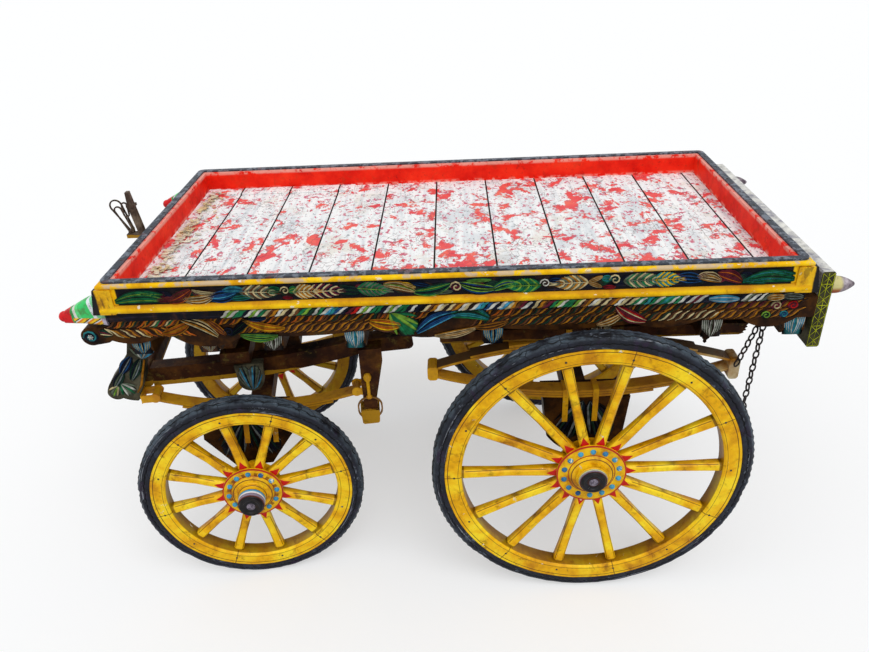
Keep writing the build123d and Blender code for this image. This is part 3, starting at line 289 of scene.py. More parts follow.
class Graph(NodeTree):
    """A material's node tree."""

    def __init__(self, name: str, metal: float = 0.0, specular: float = 0.2, rough: float = 0.5) -> None:
        """Start a material.

        Args:
            name: the material's name.
            metal: how metallic the surface is.
            specular: specular level.
            rough: roughness where nothing else drives it.
        """
        self.material = bpy.data.materials.new(name)
        self.material.use_nodes = True
        super().__init__(self.material.node_tree)
        self.shader = self.tree.nodes["Principled BSDF"].inputs
        for key, value in (("Metallic", metal), ("Specular IOR Level", specular), ("Roughness", rough)):
            self.shader[key].default_value = value
        self.place = self.out("ShaderNodeTexCoord", output="Object")

    def vector(self, operation: str, first, second) -> Value:
        """A Vector Math node's result."""
        return self.out("ShaderNodeVectorMath", {0: first, 1: second}, operation=operation)

    def moved(self, centre: Vector = Vector(), turn: float = 0.0, scale: Sequence[float] = (1, 1, 1)) -> Value:
        """Object coordinates from another centre, turned about Z and then stretched.

        Args:
            centre: the new centre.
            turn: angle of the new X axis about Z, in radians.
            scale: factors along the new axes.
        Returns:
            The vector.
        """
        shift = self.vector("SUBTRACT", self.place, tuple(centre))
        spun = self.out("ShaderNodeMapping", {"Vector": shift, "Rotation": (0, 0, -turn)})
        return self.vector("MULTIPLY", spun, scale)

    def axes(self, vector: Optional[Value] = None) -> list[Value]:
        """The three parts of a vector, or of the object coordinates."""
        parts = self.node("ShaderNodeSeparateXYZ", {0: vector or self.place})
        return [Value(self, part) for part in parts.outputs]

    def noise(self, scale: float, detail: float = 4.0, rough: float = 0.55, distortion: float = 0.0,
              vector: Optional[Value] = None) -> Value:
        """Noise from 0 to 1.

        Args:
            scale: cells in a metre.
            detail: octaves.
            rough: weight of the finer octaves.
            distortion: how far the pattern is pulled about.
            vector: coordinates, or None for object coordinates.
        Returns:
            The value.
        """
        return self.out("ShaderNodeTexNoise", {"Vector": vector or self.place, "Scale": scale, "Detail": detail,
                                               "Roughness": rough, "Distortion": distortion}, "Fac")

    def cracks(self, scale: float, vector: Value) -> Value:
        """Distance to the nearest border of irregular cells."""
        return self.out("ShaderNodeTexVoronoi", {"Vector": vector, "Scale": scale}, "Distance",
                        feature="DISTANCE_TO_EDGE")

    def finish(self, colour, rough: Optional[Value] = None, height: Optional[Value] = None,
               depth: float = 0.001) -> Material:
        """Wire up the shader.

        Args:
            colour: base colour.
            rough: roughness, or None for the constant.
            height: relief from 0 to 1, or None.
            depth: how deep a relief of 1 is, in metres.
        Returns:
            The material.
        """
        self.feed(self.shader["Base Color"], colour)
        if rough is not None:
            self.feed(self.shader["Roughness"], rough)
        if height is not None:
            bump = self.out("ShaderNodeBump", {"Height": height, "Strength": 0.8, "Distance": depth})
            self.feed(self.shader["Normal"], bump)
        return self.material


# ------------------------------------------------------------------ finishes
@dataclass(frozen=True)
class Wear:
    """How old a coat of paint looks."""
    dirt: Tone = P.BROWN
    under: Tone = P.CREAM
    dirt_share: float = 0.45
    chip_level: float = 0.66
    gloss: float = 0.5

    def onto(self, graph: Graph, colour: Value, depth: float) -> Material:
        """Add fading, dirt, chips, roughness and relief over a colour and finish the material.

        Args:
            graph: the material so far.
            colour: its clean colour.
            depth: depth of the brush marks and chips.
        Returns:
            The material.
        """
        fine = graph.noise(95, 5, 0.65)
        faded = colour.mixed(graph.noise(7, 3).step(0.42, 0.72), (0.55, 0.55, 0.55), "SOFT_LIGHT")
        stain = graph.noise(26, 6, 0.7, 0.6).step(0.5, 0.74) * self.dirt_share
        chip = graph.noise(38, 7, 0.68, 0.3).step(self.chip_level, self.chip_level + 0.02)
        worn = faded.coated((stain, self.dirt), (fine.step(0.6, 0.72) * 0.35, P.DARK_BROWN), (chip, self.under))
        return graph.finish(worn, (stain + chip) * 0.3 + self.gloss, fine * 0.5 - chip * 0.5, depth)


class Coat:
    """Old paint: a clean colour that each kind of coat makes, aged by its wear."""
    name: str
    metal: float = 0.0
    specular: float = 0.2
    depth: float = 0.0007
    wear: Wear = Wear()

    def tone(self, graph: Graph) -> Value:
        """The clean colour, which each kind of coat makes.

        Args:
            graph: the material so far.
        Returns:
            The colour.
        """
        raise NotImplementedError

    def build(self) -> Material:
        """Make the material."""
        graph = Graph(self.name, self.metal, self.specular)
        return self.wear.onto(graph, self.tone(graph), self.depth)


@dataclass(frozen=True)
class PlainCoat(Coat):
    """One colour of old paint, shaded by another."""
    name: str
    paint: Tone
    shade: Tone
    wear: Wear = Wear()

    def tone(self, graph: Graph) -> Value:
        """The clean colour."""
        return graph.noise(11).step(0.35, 0.7).between(self.paint, self.shade)


@dataclass(frozen=True)
class CarvedCoat(Coat):
    """Many-coloured paint on carving: each ridge's own colour, black in the cuts as painted shade and pale along the
    crests as a painted highlight.
    """
    name: str
    # colour of the painted highlight along the crests
    pale: Tone = "f2efcf"
    specular = 0.06
    wear = Wear(P.DARK_BROWN, P.WHITE, 0.2, 0.72, 0.42)

    def tone(self, graph: Graph) -> Value:
        """The clean colour."""
        own = graph.node("ShaderNodeAttribute", attribute_name="paint").outputs
        tone, crest = Value(graph, own["Color"]), Value(graph, own["Alpha"])
        shade = graph.noise(60, 3).step(0.4, 0.65).between((0.80, 0.80, 0.80), (0.42, 0.42, 0.42))
        patchy = graph.noise(34, 3).step(0.42, 0.62) * 0.55 + 0.05
        # painted shade: black where each ridge sinks into the ground; painted highlight: pale along each crest, set
        # by the crest value in the mesh
        return tone.mixed(1.0, shade, "MULTIPLY").coated((crest.step(0.42, 0.05), P.BLACK),
                                                         (crest.step(0.66, 0.98) * patchy, self.pale))


@dataclass(frozen=True)
class CarvedGround(Coat):
    """Dark painted ground behind and between the carving."""
    name: str
    tones: tuple[str, ...] = ("120b06", "2a170a", "4a2c0e", "23301c")
    specular = 0.06
    depth = 0.0014
    wear = Wear("0c0806", "8a7a50", 0.5, 0.70)

    def tone(self, graph: Graph) -> Value:
        """The clean colour."""
        return graph.noise(15, 5, 0.62).ramp(dict(zip((0.32, 0.46, 0.6, 0.74), self.tones)))


@dataclass(frozen=True)
class PeeledBoards(Coat):
    """Red paint peeling off white-grey primed boards that lie across the cart."""
    name: str = "peeled_boards"
    board: float = 0.1738
    first_x: float = 0.7367
    seam_shift: float = 0.0012

    def build(self) -> Material:
        """Make the material."""
        graph = Graph(self.name)
        x, y, _ = graph.axes(graph.moved(TRAY.point(self.first_x)))
        own = graph.out("ShaderNodeTexWhiteNoise", {"W": (x / self.board).maths("FLOOR")}, "Value",
                        noise_dimensions="1D")
        shift = graph.out("ShaderNodeCombineXYZ", {2: own * 9.0})
        along, streak = (graph.vector("ADD", graph.moved(scale=scale), shift)
                         for scale in ((1.0, 0.8, 1.0), (60.0, 3.2, 60.0)))
        level = own * 0.045 + graph.noise(15, 10, 0.68, 0.3, along) + abs(y).step(0.30, 0.44) * 0.012
        red = level.step(0.574, 0.579)
        fleck = (level.step(0.45, 0.58) * 0.05 + graph.noise(58, 5, 0.62, 0.6, along)).step(0.600, 0.610)
        speck = graph.noise(84, 4, 0.6, 0.4, along).step(0.605, 0.64)
        grain = graph.noise(1, 5, 0.6, 0.2, streak)
        flake = graph.cracks(44, along).step(0.055, 0.015) * graph.noise(11, 5, 0.62, 0, along).step(0.49, 0.57)
        # painted shade: the board edges along each seam are painted near-black, as shade in the gaps between the
        # boards
        seam = (x - self.seam_shift).maths("PINGPONG", self.board / 2)
        hair = graph.noise(1, 2, 0.5, 0.1, graph.moved(scale=(90.0, 1.2, 90.0))).step(0.73, 0.75)
        coat = grain.ramp({0.3: "d2d6da", 0.46: "eceeee", 0.62: "f8f8f6", 0.78: "e2e6e6"}).coated(
            (graph.noise(8, 6, 0.62).step(0.54, 0.66) * 0.5, "dcd2bf"),
            (graph.noise(6, 6, 0.6, 0, along).step(0.53, 0.64) * 0.4, "b4bcc4"),
            (speck * 0.75, "7f8488"), (fleck * 0.88, "c8486a"), (level.band(0.562, 0.573, 0.003) * 0.35, "a88068"),
            (red, graph.noise(19, 4, 0.6).ramp({0.34: "dc3a4a", 0.52: "ea5350", 0.72: "f0705a"})),
            (flake * 0.5, "5c4440"), (seam.step(0.0030, 0.0022), "1a1614"), (hair * 0.5, "6c665e"))
        return graph.finish(coat, red * -0.2 + 0.68, red * 0.5 + grain * 0.4, 0.0008)


@dataclass(frozen=True)
class WallCoat(Coat):
    """A wall's paint: red inside, yellow mouldings and a dark ground for the carving outside."""
    name: str
    inner: float
    across_x: bool
    specular = 0.08
    wear = Wear(P.BROWN, "c8b9a0", 0.25, 0.71)

    def tone(self, graph: Graph) -> Value:
        """The clean colour."""
        x, y, z = graph.axes(graph.moved(TRAY.point()))
        out, along = (x, y) if self.across_x else (y, x)
        corner = (TRAY.half_width if self.across_x else TRAY.half_length) - 0.042
        foot, rim, floor = TRAY.field_bottom, TRAY.rim_top, TRAY.floor_top
        mould = z.band(TRAY.field_top, 2.0).most(z.band(TRAY.strip_top, foot))
        mould = mould.most(abs(along).step(corner - 0.002, corner + 0.002) * z.band(TRAY.strip_top, 2.0))
        sheen = graph.noise(1, 4, 0.6, 0.2, graph.moved(scale=(9, 9, 120))).step(0.54, 0.66)
        ground = graph.noise(22, 3).step(0.4, 0.65).between("0c0c16", "060608").coated((sheen * 0.45, "343246"))
        edge = z.step(foot - 0.011, foot - 0.002) * z.step(foot + 0.004, foot + 0.001)
        rubbed = z.step(rim - 0.014, rim - 0.006) * graph.noise(17, 6, 0.7).step(0.49, 0.56)
        nick = graph.noise(70, 5, 0.6, 0.2, graph.moved(scale=(0.5, 0.5, 1.0))).step(0.65, 0.67)
        gold = graph.noise(12, 5, 0.65).ramp({0.32: "c98a12", 0.48: "f2b90c", 0.66: "ffd21a"}).coated(
            (edge * 0.6, "b4701a"), (rubbed * 0.8, "c3b09c"), (nick * 0.8, "efe9d8"))
        worn = z.step(rim - 0.013, rim - 0.004) * graph.noise(30, 6, 0.7).step(0.40, 0.5)
        low = z.step(floor + 0.012, floor) * graph.noise(40, 6).step(0.46, 0.58)
        red = graph.noise(10, 5, 0.6).ramp({0.34: "d8180c", 0.5: "f02814", 0.68: "fa3a1e"}).coated(
            (graph.noise(21, 7, 0.7).step(0.57, 0.66) * 0.4, "7c1c18"), (worn.most(low) * 0.75, "f0b0a0"))
        return ground.coated((mould, gold), (abs(out).step(self.inner + 0.0110, self.inner + 0.0100), red))


@dataclass(frozen=True)
class CornerCoat(Coat):
    """Golden paint on the corner blocks' sides and near-black towards the cart's ends."""
    name: str = "corner_coat"
    wear = Wear(P.DARK_BROWN, P.CREAM, 0.3)

    def tone(self, graph: Graph) -> Value:
        """The clean colour."""
        x, _, _ = graph.axes(graph.moved(TRAY.point()))
        arch = graph.noise(1, 3, 0.5, 0.4, graph.moved(scale=(60, 60, 22))).step(0.56, 0.62)
        far = (graph.noise(30, 3) * 0.008 + abs(x)).step(0.914, 0.918)
        gold = graph.noise(24, 5, 0.65).ramp({0.34: "8a5a10", 0.5: "e0a80c", 0.66: "f6c81c"})
        return gold.coated((arch * 0.55, "4a2a10"), (far, "08080c"))


@dataclass(frozen=True)
class TailCoat(Coat):
    """Olive-black paint on the tail board, pale and worn along its top."""
    name: str = "tail_coat"
    wear = Wear("6a6420", "d8d890", 0.35)

    def tone(self, graph: Graph) -> Value:
        """The clean colour."""
        _, y, z = graph.axes()
        dark = graph.noise(20).ramp({0.35: "1c1a0c", 0.55: "34351a", 0.72: "58521e"})
        pale = graph.noise(32, 5, 0.65).ramp({0.36: "8d8c98", 0.5: "c9c8c4", 0.66: "ecebe4"})
        high = (graph.noise(26, 3) * 0.02 + z).step(0.978, 0.984)
        return dark.coated((high * abs(y).step(0.4384, 0.4376), pale))


@dataclass(frozen=True)
class FinialCoat(Coat):
    """Cream at the root of a finial, orange-brown below and mauve-grey at its tip."""
    name: str = "finial_coat"
    wear = Wear(P.BLACK, P.CREAM, 0.3)

    def tone(self, graph: Graph) -> Value:
        """The clean colour."""
        x, _, z = graph.axes(graph.moved(FINIAL_ROOT))
        tip = (graph.noise(40) * 0.02 + x).step(-0.018, -0.030)
        grey = graph.noise(45, 5).ramp({0.36: "4a3e48", 0.52: "8d8289", 0.68: "beb4ba"})
        return z.step(0.004, -0.010).between("cdc487", "9a4a18").coated((tip, grey))


@dataclass(frozen=True)
class HornCoat(Coat):
    """Bands of bright paint along the front horns."""
    name: str = "horn_coat"

    def tone(self, graph: Graph) -> Value:
        """The clean colour."""
        x, _, z = graph.axes(graph.moved(TRAY.point()))
        share = ((z - 0.99) * -0.2 + (graph.noise(34) * 0.014 + x) - 0.914) / 0.137
        upper = share.ramp({0.0: "8ad8a0", 0.18: "e6eef0", 0.26: "3fc86a", 0.5: "5fdc84", 0.58: P.WHITE,
                            0.64: "2c9a50", 0.70: "d4181e"}, True)
        ribs = (share * 5.0 + z * 60.0).maths("FRACT")
        lower = ribs.ramp({0.0: "1c1410", 0.16: "f0c020", 0.52: "e0801c", 0.8: P.WHITE}, True)
        below = z.step(0.992, 0.988) * share.step(0.68, 0.66)
        blot = graph.noise(60).step(0.54, 0.62) * 0.4
        return upper.coated((below, lower.coated((share.step(0.16, 0.12), "b8b0c4"))), (blot, "5a1c20"))


@dataclass(frozen=True)
class LeafedSpring(Coat):
    """Yellow paint on a pack of leaves, dark where the leaves meet."""
    name: str
    centre: Vector
    turn: float
    inner: float
    paint: Tone
    far: Tone
    metal = 0.1
    wear = Wear("6a3c18", "c8b080", 0.6, 0.68)

    def tone(self, graph: Graph) -> Value:
        """The clean colour."""
        x, _, z = graph.axes(graph.moved(self.centre, self.turn))
        radius = (x * x + z * z).maths("SQRT")
        tone = x.step(-0.26, -0.36).between(self.paint, self.far)
        tone = tone.coated((graph.noise(14, 5).step(0.4, 0.7), "a8701c"))
        for seam in (self.inner + 0.008, self.inner + 0.016):
            tone = tone.coated((radius.band(seam - 0.0007, seam + 0.0007, 0.0004) * 0.9, "3a2412"))
        return tone


@dataclass(frozen=True)
class DarkTimber(Coat):
    """Dark beams with an ochre lower edge and traces of old paint."""
    name: str
    low: float
    edge: float = 0.016
    amount: float = 0.8
    tones: tuple[str, ...] = ("1a0e08", "381c0e", "5a3614", "7a5a1c")
    specular = 0.08
    depth = 0.0012
    wear = Wear("1c120c", "8a7448", 0.6, 0.69, 0.55)

    def tone(self, graph: Graph) -> Value:
        """The clean colour."""
        _, _, z = graph.axes()
        top = self.low + self.edge
        foot = (graph.noise(25) * 0.012 + z).step(top + 0.006, top + 0.004)
        tone = graph.noise(13, 5, 0.6).ramp(dict(zip((0.3, 0.48, 0.62, 0.74), self.tones)))
        spots = graph.noise(34, 6, 0.7).step(0.56, 0.66)
        return tone.coated((spots * 0.6, "6a5a28"), (foot * self.amount, "b9891e"))


@dataclass(frozen=True)
class Iron(Coat):
    """Dark iron, worn and rusting."""
    name: str
    paint: Tone
    bare: Tone = "5b5a60"
    rust: Tone = "6a3a24"
    level: float = 0.58

    def build(self) -> Material:
        """Make the material."""
        graph = Graph(self.name, 0.35, 0.5)
        rub = graph.noise(42, 7, 0.7).step(self.level, self.level + 0.05)
        rusty = graph.noise(18, 6, 0.68, 0.4).step(0.56, 0.7)
        fine = graph.noise(160, 4, 0.6)
        tone = rub.between(self.paint, self.bare).coated((rusty * 0.55, self.rust))
        return graph.finish(tone, fine * 0.35 + 0.38, fine * 0.6 + rub, 0.0006)


@dataclass(frozen=True)
class WheelPlace:
    """Where a wheel stands and how it is turned."""
    name: str
    centre: Vector
    turn: float
    side: int
    radius: float
    felloe: float
    spokes: int
    phase: float
    flange: float
    cap_end: float
    hub_end: float
    rings: tuple[Tone, Tone, Tone]
    tyre: float = 0.037
    half_tyre: float = 0.028
    half_felloe: float = 0.027
    zigzag: float = 0.024

    def polar(self, graph: Graph) -> tuple[Value, Value, Value]:
        """Coordinates that follow the wheel.

        Args:
            graph: the material that needs them.
        Returns:
            Radius, angle about the axle in turns from 0 to 1, and distance out along the axle.
        """
        x, y, z = graph.axes(graph.moved(self.centre, self.turn))
        angle = z.maths("ARCTAN2", x) * (1 / math.tau) + 0.5
        return (x * x + z * z).maths("SQRT"), angle, y * float(self.side)

    @property
    def felloe_in(self) -> float:
        """Inner radius of the rim."""
        return self.radius - self.tyre - self.felloe

    @property
    def collar(self) -> float:
        """Where the hub's collar starts, just outside the nave's end."""
        return self.cap_end - 0.0196

    @property
    def black_start(self) -> float:
        """Where the black cap starts."""
        return self.hub_end - min(0.009, (self.hub_end - self.collar) * 0.26)


@dataclass(frozen=True)
class WheelCoat(Coat):
    """Yellow wheel paint with pinstripes and red spoke feet."""
    name: str
    wheel: WheelPlace
    wear = Wear("6a3c08", "e6e0cc", 0.4, 0.675, 0.4)

    def tone(self, graph: Graph) -> Value:
        """The clean colour."""
        w = self.wheel
        radius, angle, out = w.polar(graph)
        outer, inner, face = w.radius - w.tyre, w.felloe_in, w.half_felloe
        tone = graph.noise(11, 6, 0.62, 0.3).ramp({0.33: "c58400", 0.47: "efb200", 0.64: "ffdc24"})
        # painted shade: darker brown-yellow towards the wheel's inner side, away from its outer face
        tone = tone.coated((graph.noise(26, 7, 0.7, 0.5).step(0.55, 0.68) * 0.5, "8a5200"),
                           (out.step(face - 0.012, -0.012) * 0.55, "7a4a00"))
        wobble = graph.noise(14, 2) * 0.004 + radius
        for place, width, keep in ((outer - 0.0075, 0.0011, 0.9), (inner + 0.012, 0.0008, 0.75),
                                   (outer + 0.003, 0.0022, 0.95)):
            line = wobble.band(place - width, place + width, 0.0004) * out.step(face - 0.007, face - 0.005)
            tone = tone.coated((line * radius.step(inner - 0.004, inner - 0.003) * keep, "2a0f08"))
        turn = angle + (0.5 - math.radians(w.phase) / math.tau)
        share = (turn * float(w.spokes) + 0.5).maths("FRACT")
        aside = abs(share - 0.5) * (math.tau / w.spokes) * radius
        mark = ((w.flange + 0.029 - radius) * 0.46 - aside).step(-0.0006, 0.0006)
        joint = (turn * (w.spokes / 2) + 0.5).maths("PINGPONG", 0.5) * (math.tau * 2 / w.spokes) * radius
        line = aside.band(0.0108, 0.0127, 0.0003) * radius.band(w.flange + 0.03, inner - 0.01, 0.003)
        return tone.coated((mark * radius.step(w.flange - 0.001, w.flange), "c40d0a"),
                           (joint.step(0.0016, 0.0008) * radius.step(inner - 0.001, inner) * 0.85, "3a1c08"),
                           (radius.band(inner - 0.007, inner + 0.0005, 0.001) * 0.7, "4a2808"),
                           (line * 0.7, "3a1808"))


@dataclass(frozen=True)
class NaveCoat(Coat):
    """Ringed paint on a wheel's nave."""
    name: str
    wheel: WheelPlace
    wear = Wear("5a3008", "d8cfb4", 0.45, 0.69, 0.38)

    def tone(self, graph: Graph) -> Value:
        """The clean colour."""
        flange = self.wheel.flange
        radius, angle, out = self.wheel.polar(graph)
        front = out.step(0.02, 0.021)
        tone = graph.noise(24, 5).ramp({0.36: "b87800", 0.5: "eab008", 0.66: "f8c818"})
        for low, high, paint in ((flange - 0.004, flange + 0.01, "b8301c"), (0.0655, 0.068, "a8281c"),
                                 (0.0575, 0.06, "5a1f18")):
            tone = tone.coated((radius.band(low, high) * front, paint))
        dab = (angle * float(self.wheel.spokes)).maths("FRACT").band(0.36, 0.64, 0.02)
        return tone.coated((dab * radius.band(flange - 0.026, flange - 0.014, 0.001) * front * 0.75, "5c120c"))


@dataclass(frozen=True)
class CapCoat(Coat):
    """Painted rings on the hub's collar and a black cap with a worn grey bolt in its hollow end."""
    name: str
    wheel: WheelPlace
    wear = Wear("3a2410", "b8b0a8", 0.4, 0.68, 0.32)

    def tone(self, graph: Graph) -> Value:
        """The clean colour."""
        w = self.wheel
        radius, _, out = w.polar(graph)
        bolt = graph.noise(120, 3).ramp({0.4: "4c4450", 0.6: "8c8290"})
        black = graph.noise(60).ramp({0.4: "050506", 0.6: "16141a"}).coated((radius.step(0.0135, 0.0125), bolt))
        ragged = graph.noise(50, 3) * 0.0016 + (out - (w.collar + 0.0008))
        gold, dark = "eab008", "5a2414"
        first, second, third = w.rings
        rings = (ragged / (w.black_start - w.collar)).ramp({
            0.0: gold, 0.05: dark, 0.08: gold, 0.36: dark, 0.40: first, 0.56: second, 0.71: dark, 0.74: third,
            0.95: dark}, True)
        return rings.coated((out.step(w.black_start - 0.0003, w.black_start + 0.0001), black))


@dataclass(frozen=True)
class Rubber(Coat):
    """Old solid rubber, cracked round the tread and rubbed grey; the paler tread and the pale streaks round it are
    partly wear and partly painted highlight.
    """
    name: str
    wheel: WheelPlace

    def build(self) -> Material:
        """Make the material."""
        graph = Graph(self.name)
        radius, angle, out = self.wheel.polar(graph)
        rim = self.wheel.radius
        turn = angle * (math.tau * rim)
        around = graph.out("ShaderNodeCombineXYZ", {0: turn, 1: radius, 2: out})
        short, lined = (graph.vector("MULTIPLY", around, scale) for scale in ((0.35, 1.0, 1.0), (4.0, 150.0, 150.0)))
        broad = graph.noise(16, 5, 0.6, 0.4, around)
        fine = graph.noise(120, 6, 0.7, 0.3, around)
        tri = turn.maths("PINGPONG", self.wheel.zigzag)
        groove = (tri * 0.11 - abs(out)).band(-0.0142, -0.0118, 0.0003) * radius.step(rim - 0.008, rim - 0.006)
        crack = (graph.cracks(24, around).step(0.035, 0.0) * broad.step(0.44, 0.58)).most(
            groove.most((tri * 0.1 + radius).band(rim - 0.0222, rim - 0.0198, 0.0004)))
        tone = broad.ramp({0.3: "0d0e14", 0.5: "1a1d27", 0.7: "2e3440"}).coated(
            (graph.noise(21, 4, 0.6, 0.4, around).step(0.55, 0.66) * 0.5, "2c1a36"),
            # partly wear, partly painted highlight: paler grey-blue patches on the tread and pale streaks round the
            # tyre
            (radius.step(rim - 0.013, rim - 0.003) * broad.step(0.36, 0.56) * 0.7, "56636e"),
            (graph.noise(60, 6, 0.7, 0.5, short).step(0.60, 0.68) * 0.5, "7f8896"),
            (graph.noise(1, 3, 0.6, 0.4, lined).step(0.63, 0.67) * 0.5, "aab0ba"), (crack * 0.9, "050508"))
        return graph.finish(tone, fine * 0.3 + 0.45, fine * 0.5 + broad - crack, 0.0022)


# ------------------------------------------------------------------ mesh helpers
def placed(name: str, mesh: Mesh, finish: Optional[Material] = None) -> Thing:
    """A new object for a mesh, at the origin, with its material if one is given.

    Args:
        name: the object's name.
        mesh: the mesh that it shows.
        finish: its material, or None.
    Returns:
        The piece.
    """
    if finish:
        mesh.materials.append(finish)
    thing = bpy.data.objects.new(name, mesh)
    bpy.context.scene.collection.objects.link(thing)
    return thing


def meshed(name: str, points: Sequence, faces: Sequence[Face] = ()) -> Mesh:
    """A new mesh from points and faces."""
    mesh = bpy.data.meshes.new(name)
    mesh.from_pydata([tuple(point) for point in points], [], faces)
    return mesh


@contextmanager
def edited(mesh: Mesh) -> Iterator[bmesh.types.BMesh]:
    """Open a mesh for editing and write it back with its normals outwards.

    Args:
        mesh: the mesh to edit.
    Yields:
        The mesh, open for editing.
    """
    work = bmesh.new()
    work.from_mesh(mesh)
    yield work
    bmesh.ops.recalc_face_normals(work, faces=work.faces)
    work.to_mesh(mesh)
    work.free()


def smooth_faces(mesh: Mesh) -> None:
    """Turn a closed mesh's faces outwards and shade its four-sided ones smooth."""
    with edited(mesh) as work:
        for face in work.faces:
            face.smooth = len(face.verts) == 4


def skin(rings: int, rows: int, start: int = 0, loop: bool = True, closed: bool = True) -> list[Face]:
    """Faces between rings of points.

    Args:
        rings: how many rings.
        rows: points in a ring.
        start: number of the first point.
        loop: whether the last ring joins the first; closed rings are capped otherwise.
        closed: whether a ring's last point joins its first.
    Returns:
        The faces.
    """
    faces = []
    for ring in range(rings if loop else rings - 1):
        this, after = start + ring * rows, start + (ring + 1) % rings * rows
        for row in range(rows if closed else rows - 1):
            n = (row + 1) % rows
            faces.append((this + row, after + row, after + n, this + n))
    if closed and not loop:
        last = start + rings * rows - 1
        faces += [tuple(start + k for k in range(rows)), tuple(last - k for k in range(rows))]
    return faces


def lathe(name: str, profile: Sequence[Point], steps: int, start: Matrix) -> Mesh:
    """Turn a profile about the local Y axis.

    Args:
        name: the mesh's name.
        profile: (radius, along) points.
        steps: how many sides.
        start: from local axes to the cart's.
    Returns:
        The mesh.
    """
    points = [start @ Vector((radius * math.cos(a), along, radius * math.sin(a)))
              for a in (math.tau * step / steps for step in range(steps)) for radius, along in profile]
    mesh = meshed(name, points, skin(steps, len(profile), closed=False))
    with edited(mesh) as work:
        bmesh.ops.remove_doubles(work, verts=work.verts, dist=0.00002)
        for face in work.faces:
            face.smooth = True
    return mesh


def dome(radius: float, height: float, steps: int) -> Mesh:
    """Domed bolt head on the XY plane, rising along +Z."""
    profile = [(0.0, height), (radius * 0.45, height * 0.93), (radius * 0.8, height * 0.6), (radius, 0.0),
               (radius, -height * 0.3), (0.0, -height * 0.3)]
    return lathe("dome", profile, steps, Matrix.Rotation(QUARTER, 4, "X"))


class Repeater(NodeTree):
    """A geometry node tree with named inputs that repeats a piece; its result is kept as a plain mesh."""

    def __init__(self, name: str, **sockets: str) -> None:
        """Start a tree.

        Args:
            name: the tree's name.
            sockets: kinds of its own inputs by name, with _ for a space.
        """
        super().__init__(bpy.data.node_groups.new(name, "GeometryNodeTree"))
        face = self.tree.interface
        for title, kind in {"Geometry": "Geometry", "Piece": "Object", "Finish": "Material", **sockets}.items():
            face.new_socket(title.replace("_", " "), in_out="INPUT", socket_type="NodeSocket" + kind)
        face.new_socket("Geometry", in_out="OUTPUT", socket_type="NodeSocketGeometry")
        self.given = {item.name: Value(self, item) for item in self.tree.nodes.new("NodeGroupInput").outputs}
        self.piece = self.out("GeometryNodeObjectInfo", {"Object": self.given["Piece"]}, "Geometry")

    def close(self, instances: Value) -> "Repeater":
        """End the tree: make the instances real and give them their finish."""
        real = self.out("GeometryNodeRealizeInstances", {0: instances})
        dressed = self.out("GeometryNodeSetMaterial", {"Geometry": real, "Material": self.given["Finish"]})
        self.node("NodeGroupOutput", {0: dressed})
        return self

    def make(self, name: str, piece: Mesh, finish: Material, base: Optional[Mesh] = None, **values) -> Thing:
        """Run the tree and keep its result as a plain mesh.

        Args:
            name: the new object's name.
            piece: what is repeated.
            finish: its material.
            base: the points that the tree works on, or None.
            values: the other inputs by name, with _ for a space.
        Returns:
            The object.
        """
        shape = placed(name + "_shape", piece)
        carrier = placed(name + "_seed", base or bpy.data.meshes.new(name + "_seed"))
        modifier = carrier.modifiers.new("nodes", "NODES")
        modifier.node_group = self.tree
        names = {item.name: item.identifier for item in self.tree.interface.items_tree if item.in_out == "INPUT"}
        for key, value in {"Piece": shape, "Finish": finish, **values}.items():
            modifier[names[key.replace("_", " ")]] = value
        carrier.update_tag()
        bpy.context.view_layer.update()
        result = bpy.data.meshes.new_from_object(carrier.evaluated_get(bpy.context.evaluated_depsgraph_get()))
        carrier.modifiers.remove(modifier)
        for spent in (carrier, shape):
            bpy.data.objects.remove(spent)
        result.name = name
        return placed(name, result)


def marks(name: str, places: Sequence[Matrix]) -> Mesh:
    """Points for a tree to put pieces on, each with a turn and a size.

    Args:
        name: the mesh's name.
        places: where each piece goes, how it is turned and how large it is.
    Returns:
        The mesh.
    """
    mesh = meshed(name, [place.to_translation() for place in places])
    turn, grow = (mesh.attributes.new(title, "FLOAT_VECTOR", "POINT") for title in ("turn", "grow"))
    for number, place in enumerate(places):
        turn.data[number].vector = tuple(place.to_euler("XYZ"))
        grow.data[number].vector = tuple(place.to_scale())
    return mesh


def on_marks_tree() -> Repeater:
    """Tree that puts one piece on every point, turned and sized by the point's own attributes."""
    tree = Repeater("on_marks")
    turn, grow = (tree.out("GeometryNodeInputNamedAttribute", {"Name": title}, data_type="FLOAT_VECTOR")
                  for title in ("turn", "grow"))
    spin = tree.out("FunctionNodeEulerToRotation", {0: turn})
    return tree.close(tree.out("GeometryNodeInstanceOnPoints", {
        "Points": tree.given["Geometry"], "Instance": tree.piece, "Rotation": spin, "Scale": grow}))


def ring_tree() -> Repeater:
    """Tree that sets a piece round a circle in the XY plane."""
    tree = Repeater("ring", Count="Int", Radius="Float", First_Angle="Float")
    ring = tree.out("GeometryNodeMeshCircle", {"Vertices": tree.given["Count"], "Radius": tree.given["Radius"]})
    put = tree.out("GeometryNodeInstanceOnPoints", {"Points": ring, "Instance": tree.piece})
    axis = tree.out("ShaderNodeCombineXYZ", {2: tree.given["First Angle"]})
    return tree.close(tree.out("GeometryNodeTransform", {"Geometry": put, "Rotation": axis}))


# ------------------------------------------------------------------ carving
@dataclass(frozen=True)
class Board:
    """A face to carve on: u runs along it, v up it, and h stands out from it."""
    origin: Vector
    along: Vector
    out: Vector
    up: Vector = Vector((0, 0, 1))

    def at(self, u: float, v: float, h: float) -> Vector:
        """Point at u, v, h."""
        return self.origin + self.along * u + self.up * v + self.out * h


